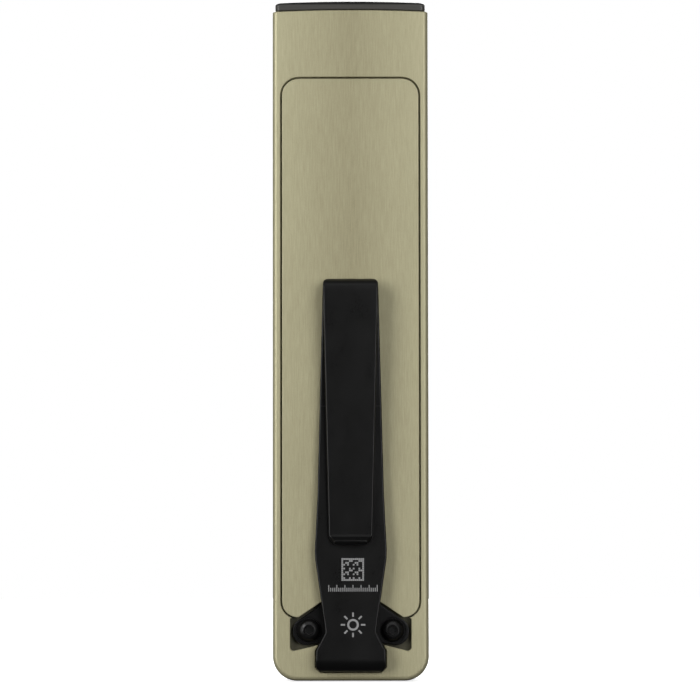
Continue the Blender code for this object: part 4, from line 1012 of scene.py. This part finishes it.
def bend(start, heading, moves, pitch=1.5):
    # stations (out, up, heading) down the middle of the strip; a move is (length, turn)
    out, up = start
    stations = [(out, up, heading)]
    for length, turn in moves:
        steps = max(math.ceil(abs(turn) / math.radians(7)), math.ceil(length / pitch), 1)
        half = turn / steps / 2
        chord = length / steps * (math.sin(half) / half if half else 1)
        for _ in range(steps):
            out += chord * math.cos(heading + half)
            up += chord * math.sin(heading + half)
            heading += 2 * half
            stations.append((out, up, heading))
    return stations


def ribbon(name, stations, widthAt, roundEnd=False):
    # the strip swept along its stations with soft edges; widthAt takes the height and the share of the way
    thick, edge = clipSizes["sheet"] / 2, clipSizes["edge"]
    rings = []

    def section(out, up, heading, width, inset, ahead):
        soft = max(edge - inset, 0.01)
        corners = [
            (-width + inset, -thick + inset, soft),
            (width - inset, -thick + inset, soft),
            (width - inset, thick - inset, soft),
            (-width + inset, thick - inset, soft),
        ]
        out += ahead * math.cos(heading)
        up += ahead * math.sin(heading)
        return [
            Vector((p.x, rearFace - out + p.y * math.sin(heading), up + p.y * math.cos(heading)))
            for p in outline(corners, 0, 4)
        ]

    def width(index):
        _, up, heading = stations[index]
        reach = thick * abs(math.cos(heading))
        share = index / (len(stations) - 1)
        return min(widthAt(up - reach, share), widthAt(up + reach, share))

    rounding = [math.pi / 2 * step / 4 for step in range(1, 5)]
    for index, station in enumerate(stations):
        rings.append(section(*station, width(index), 0, 0))
    if roundEnd:
        for angle in rounding:
            inset, onward = edge * (1 - math.cos(angle)), edge * math.sin(angle)
            rings.append(section(*stations[-1], width(len(stations) - 1), inset, onward))
    return shell(name, rings)


def makeClip():
    size = clipSizes
    down = -math.pi / 2
    tailTurn = math.pi + size["lean"]
    baseOut = -size["sink"] - size["sheet"] / 2
    strapWidth = halfWidths(size["strapEdge"])
    armWidth = halfWidths(size["armEdge"])
    rootOut = baseOut + 2 * size["tailBend"]

    start = (baseOut, size["rootSeam"])
    upHeading = down + tailTurn
    tailMoves = [(size["rootSeam"] - tailZ, 0), (size["tailBend"] * tailTurn, tailTurn)]
    armStart = bend(start, down, tailMoves)[-1]
    toSeam = (size["seam"] - armStart[1]) / math.sin(upHeading)
    path = bend(start, down, tailMoves + [(toSeam, 0)])
    strap = ribbon("clipStrap", path, lambda height, share: strapWidth(height))
    dress(strap, clipBlack, None, ["clip_arm"], 30)

    seamOut, seamUp, _ = path[-1]
    toFold = (foldZ - seamUp) / math.sin(upHeading)
    foldOut = seamOut + toFold * math.cos(upHeading)
    outerTop = foldOut + 2 * size["topBend"]
    creaseOut = rootOut - (size["crease"] - tailZ) * math.tan(size["lean"]) + size["sheet"] + 0.2
    outerLean = math.atan2(outerTop - creaseOut, foldZ - size["crease"])
    foldTurn = -(math.pi + size["lean"] + outerLean)
    downHeading = upHeading + foldTurn
    outerRun = (foldZ - size["crease"]) / -math.sin(downHeading)
    moves = [
        (toFold, 0),
        (-size["topBend"] * foldTurn, foldTurn),
        (outerRun, 0),
        (size["lipBend"] * size["lipTurn"], size["lipTurn"]),
        (size["lipRun"] - size["edge"], 0),
    ]
    path = bend((seamOut, seamUp + 0.01), upHeading, moves, 0.5)
    fold = sum(math.ceil(length / 0.5) for length, _ in moves[:1])
    total = len(path)

    def width(height, share):
        # the strip narrows as it goes over the fold
        turned = min(max((share * (total - 1) - fold) / 26, 0), 1)
        return strapWidth(height) * (1 - turned) + armWidth(height) * turned

    outer = ribbon("clipOuterArm", path, width, roundEnd=True)
    dress(outer, clipBlack, None, ["clip_outer_arm"], 30)
    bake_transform(strap)
    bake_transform(outer)
    makeEars()


def makeEars():
    size = clipSizes
    face = rearFace + size["sink"]
    high = boxOf("clip_base")[1]
    corners = bothSides(
        [
            (5.05, size["rootSeam"] + 0.02, 0),
            (5.05, 6.15, 0.25),
            (high.x, 5.45, 2.2),
            (high.x, 9.27, 2.0),
            (bodySizes["notchFlat"], high.z, 0.4),
        ]
    )
    ears = slab("clipEars", shaped(corners, 10), face, face + size["sheet"], alongY, 0.16, 0.1, 4)
    tools = []
    for side, spot in screwSpots.items():
        at = (spot.x, spot.z)
        tools.append(sinker(f"{side}Dish", circle(2.12, at, 72), face, face + 0.18, alongY, 0.06))
        tools.append(slab(f"{side}Bore", circle(1.25, at, 40), face - past, face + 2))
    cut(ears, *tools)
    dress(ears, clipBlack, stands=["clip_base"], sharp=30)


def makeScrews():
    for side, spot in screwSpots.items():
        node = f"clip_screw_{side}"
        low, high = boxOf(node)
        top = low.y
        seat = rearFace + 0.75
        head, shaft, socket = 1.9, 1.1, 0.66
        section = [
            (0, top, 0),
            (socket + 0.34, top, 0.08),
            (1.5, top + 0.3, 0.5),
            (head, seat - 0.25, 0.1),
            (head, seat, 0),
            (shaft, seat, 0),
            (shaft, high.y, 0.2),
            (0, high.y, 0),
        ]
        at = (spot.x, spot.z)
        screw = lathe(f"clipScrew{side.title()}", section, at, alongY, 72)
        cut(
            screw,
            sinker(f"{side}Counter", circle(socket + 0.08, at, 48), top, top + 0.2, alongY, 0.14),
            slab(f"{side}Hex", circle(socket, at, 6, math.pi / 6), top - past, top + 0.8),
        )
        dress(screw, screwBlack, stands=[node], sharp=30)


def makeMarks():
    # etched marks on the arm: a field of dots, a row of ticks and a small sun, none of them lettering
    size = clipSizes
    proud = 0.012

    def onArm(across, up, height):
        out = -size["sink"] - size["sheet"] / 2 + 2 * size["tailBend"] - (up - tailZ) * math.tan(size["lean"])
        return Vector((across, rearFace - out - size["sheet"] / 2 - height, up))

    def patch(name, points):
        rings = [[onArm(p.x, p.y, level) for p in points] for level in (-0.05, proud)]
        return shell(name, rings)

    patches = []
    pitch, dot = 0.31, 0.27
    left, bottom = -1.55, 16.4
    for row in range(12):
        for column in range(12):
            rim = row in (0, 11) or column in (0, 11)
            if rim or (row * row + 3 * column + row * column) % 5 in (0, 2):
                at = (left + (column + 0.5) * pitch, bottom + (row + 0.5) * pitch)
                patches.append(patch("dot", boxed(dot / 2, dot / 2, 0, at)(0)))
    for index in range(25):
        tall = 0.55 if index % 4 == 0 else 0.32
        at = ((index - 12) * 0.33 + 0.35, 14.65 + tall)
        patches.append(patch("tick", boxed(0.07, tall, 0.05, at, 3)(0)))
    sun = Vector((0.35, 9.25))
    for index in range(8):
        angle = 2 * math.pi * index / 8
        way = Vector((math.cos(angle), math.sin(angle)))
        aside = Vector((-way.y, way.x)) * 0.14
        near, far = sun + way * 1.3, sun + way * 2.0
        patches.append(patch("ray", [near - aside, far - aside, far + aside, near + aside]))
    outer, inner = circle(0.95, sun, 48)(0), circle(0.62, sun, 48)(0)
    levels = (-0.05, proud)
    rings = [[onArm(p.x, p.y, levels[0]) for p in outer], [onArm(p.x, p.y, levels[1]) for p in outer]]
    rings += [[onArm(p.x, p.y, levels[1]) for p in inner], [onArm(p.x, p.y, levels[0]) for p in inner]]
    patches.append(shell("ring", rings, True))
    marks = patches[0]
    marks.name = "clipMarks"
    with bpy.context.temp_override(active_object=marks, selected_editable_objects=patches):
        bpy.ops.object.join()
    dress(marks, etched, "clip_arm")


print("head")
makeBezel()
makeOptics()
print("selector")
makeSelector()
makeIndicator()
print("tail")
makeTail()
print("clip")
makeClip()
makeScrews()
makeMarks()


# studio


def makeStudio():
    scene = bpy.context.scene
    for name in ("Cube", "Light", "Camera"):
        if name in bpy.data.objects:
            bpy.data.objects.remove(bpy.data.objects[name])
    scene.view_settings.view_transform = "Standard"

    world = bpy.data.worlds.new("studio")
    scene.world = world
    world.use_nodes = True
    tree = world.node_tree
    tree.nodes.clear()
    out = tree.nodes.new("ShaderNodeOutputWorld")
    path = tree.nodes.new("ShaderNodeLightPath")
    mix = tree.nodes.new("ShaderNodeMixShader")
    room = tree.nodes.new("ShaderNodeBackground")
    backdrop = tree.nodes.new("ShaderNodeBackground")
    for shade, strength in ((room, 0.05), (backdrop, 1.0)):
        shade.inputs["Color"].default_value = (1, 1, 1, 1)
        shade.inputs["Strength"].default_value = strength
    tree.links.new(path.outputs["Is Camera Ray"], mix.inputs[0])
    tree.links.new(room.outputs[0], mix.inputs[1])
    tree.links.new(backdrop.outputs[0], mix.inputs[2])
    tree.links.new(mix.outputs[0], out.inputs["Surface"])

    floorFinish = Finish("paleFloor")
    clouds = floorFinish.noise(60.0, 2)
    floorMaterial = floorFinish.finished(
        Base_Color=floorFinish.blend(clouds, rgb(236, 236, 236), rgb(244, 244, 244)),
        Roughness=0.8,
        Emission_Color=(1, 1, 1, 1),
        Emission_Strength=0.75,
    )
    shape = bmesh.new()
    bmesh.ops.create_circle(shape, cap_ends=True, segments=96, radius=0.55)
    mesh = bpy.data.meshes.new("floor")
    shape.to_mesh(mesh)
    shape.free()
    floor = bpy.data.objects.new("floor", mesh)
    scene.collection.objects.link(floor)
    floor.location.z = cadBounds[0][2] - 0.00002
    mesh.materials.append(floorMaterial)
    floor.visible_diffuse = floor.visible_glossy = False  # its glow stays off the object's underside

    focus = Vector(((cadBounds[0][0] + cadBounds[1][0]) / 2, 0, (cadBounds[0][2] + cadBounds[1][2]) / 2))
    lamps = {  # place, width, height, watts
        "keySoftbox": ((-0.33, -0.36, 0.14), 0.22, 0.5, 2.3),
        "fillSoftbox": ((0.27, -0.56, 0.14), 0.3, 0.6, 2.6),
        "topSoftbox": ((0.0, -0.38, 0.62), 0.6, 0.3, 0.5),
        "backSoftbox": ((0.06, 0.8, 0.35), 0.6, 0.6, 8.5),
    }
    for name, (place, width, height, watts) in lamps.items():
        light = bpy.data.lights.new(name, "AREA")
        light.shape = "RECTANGLE"
        light.size, light.size_y = width, height
        light.energy = watts
        lamp = bpy.data.objects.new(name, light)
        scene.collection.objects.link(lamp)
        lamp.location = place
        lamp.rotation_euler = (focus - Vector(place)).to_track_quat("-Z", "Y").to_euler()
        lamp.visible_camera = False

    view = {
        "distance": 0.6,
        "rise": math.radians(2.5),
        "roll": math.radians(-0.07),
        "lens": 187.6,
        "aim": Vector((-0.00009, -0.0077, 0.05427)),
    }
    eye = bpy.data.cameras.new("camera")
    eye.lens = view["lens"]
    eye.clip_start = 0.01
    camera = bpy.data.objects.new("camera", eye)
    scene.collection.objects.link(camera)
    away = Vector((0, -math.cos(view["rise"]), -math.sin(view["rise"])))
    camera.location = view["aim"] + away * view["distance"]
    turn = Quaternion((0, 0, 1), view["roll"])
    camera.rotation_euler = ((-away).to_track_quat("-Z", "Y") @ turn).to_euler()
    scene.camera = camera


print("studio")
makeStudio()
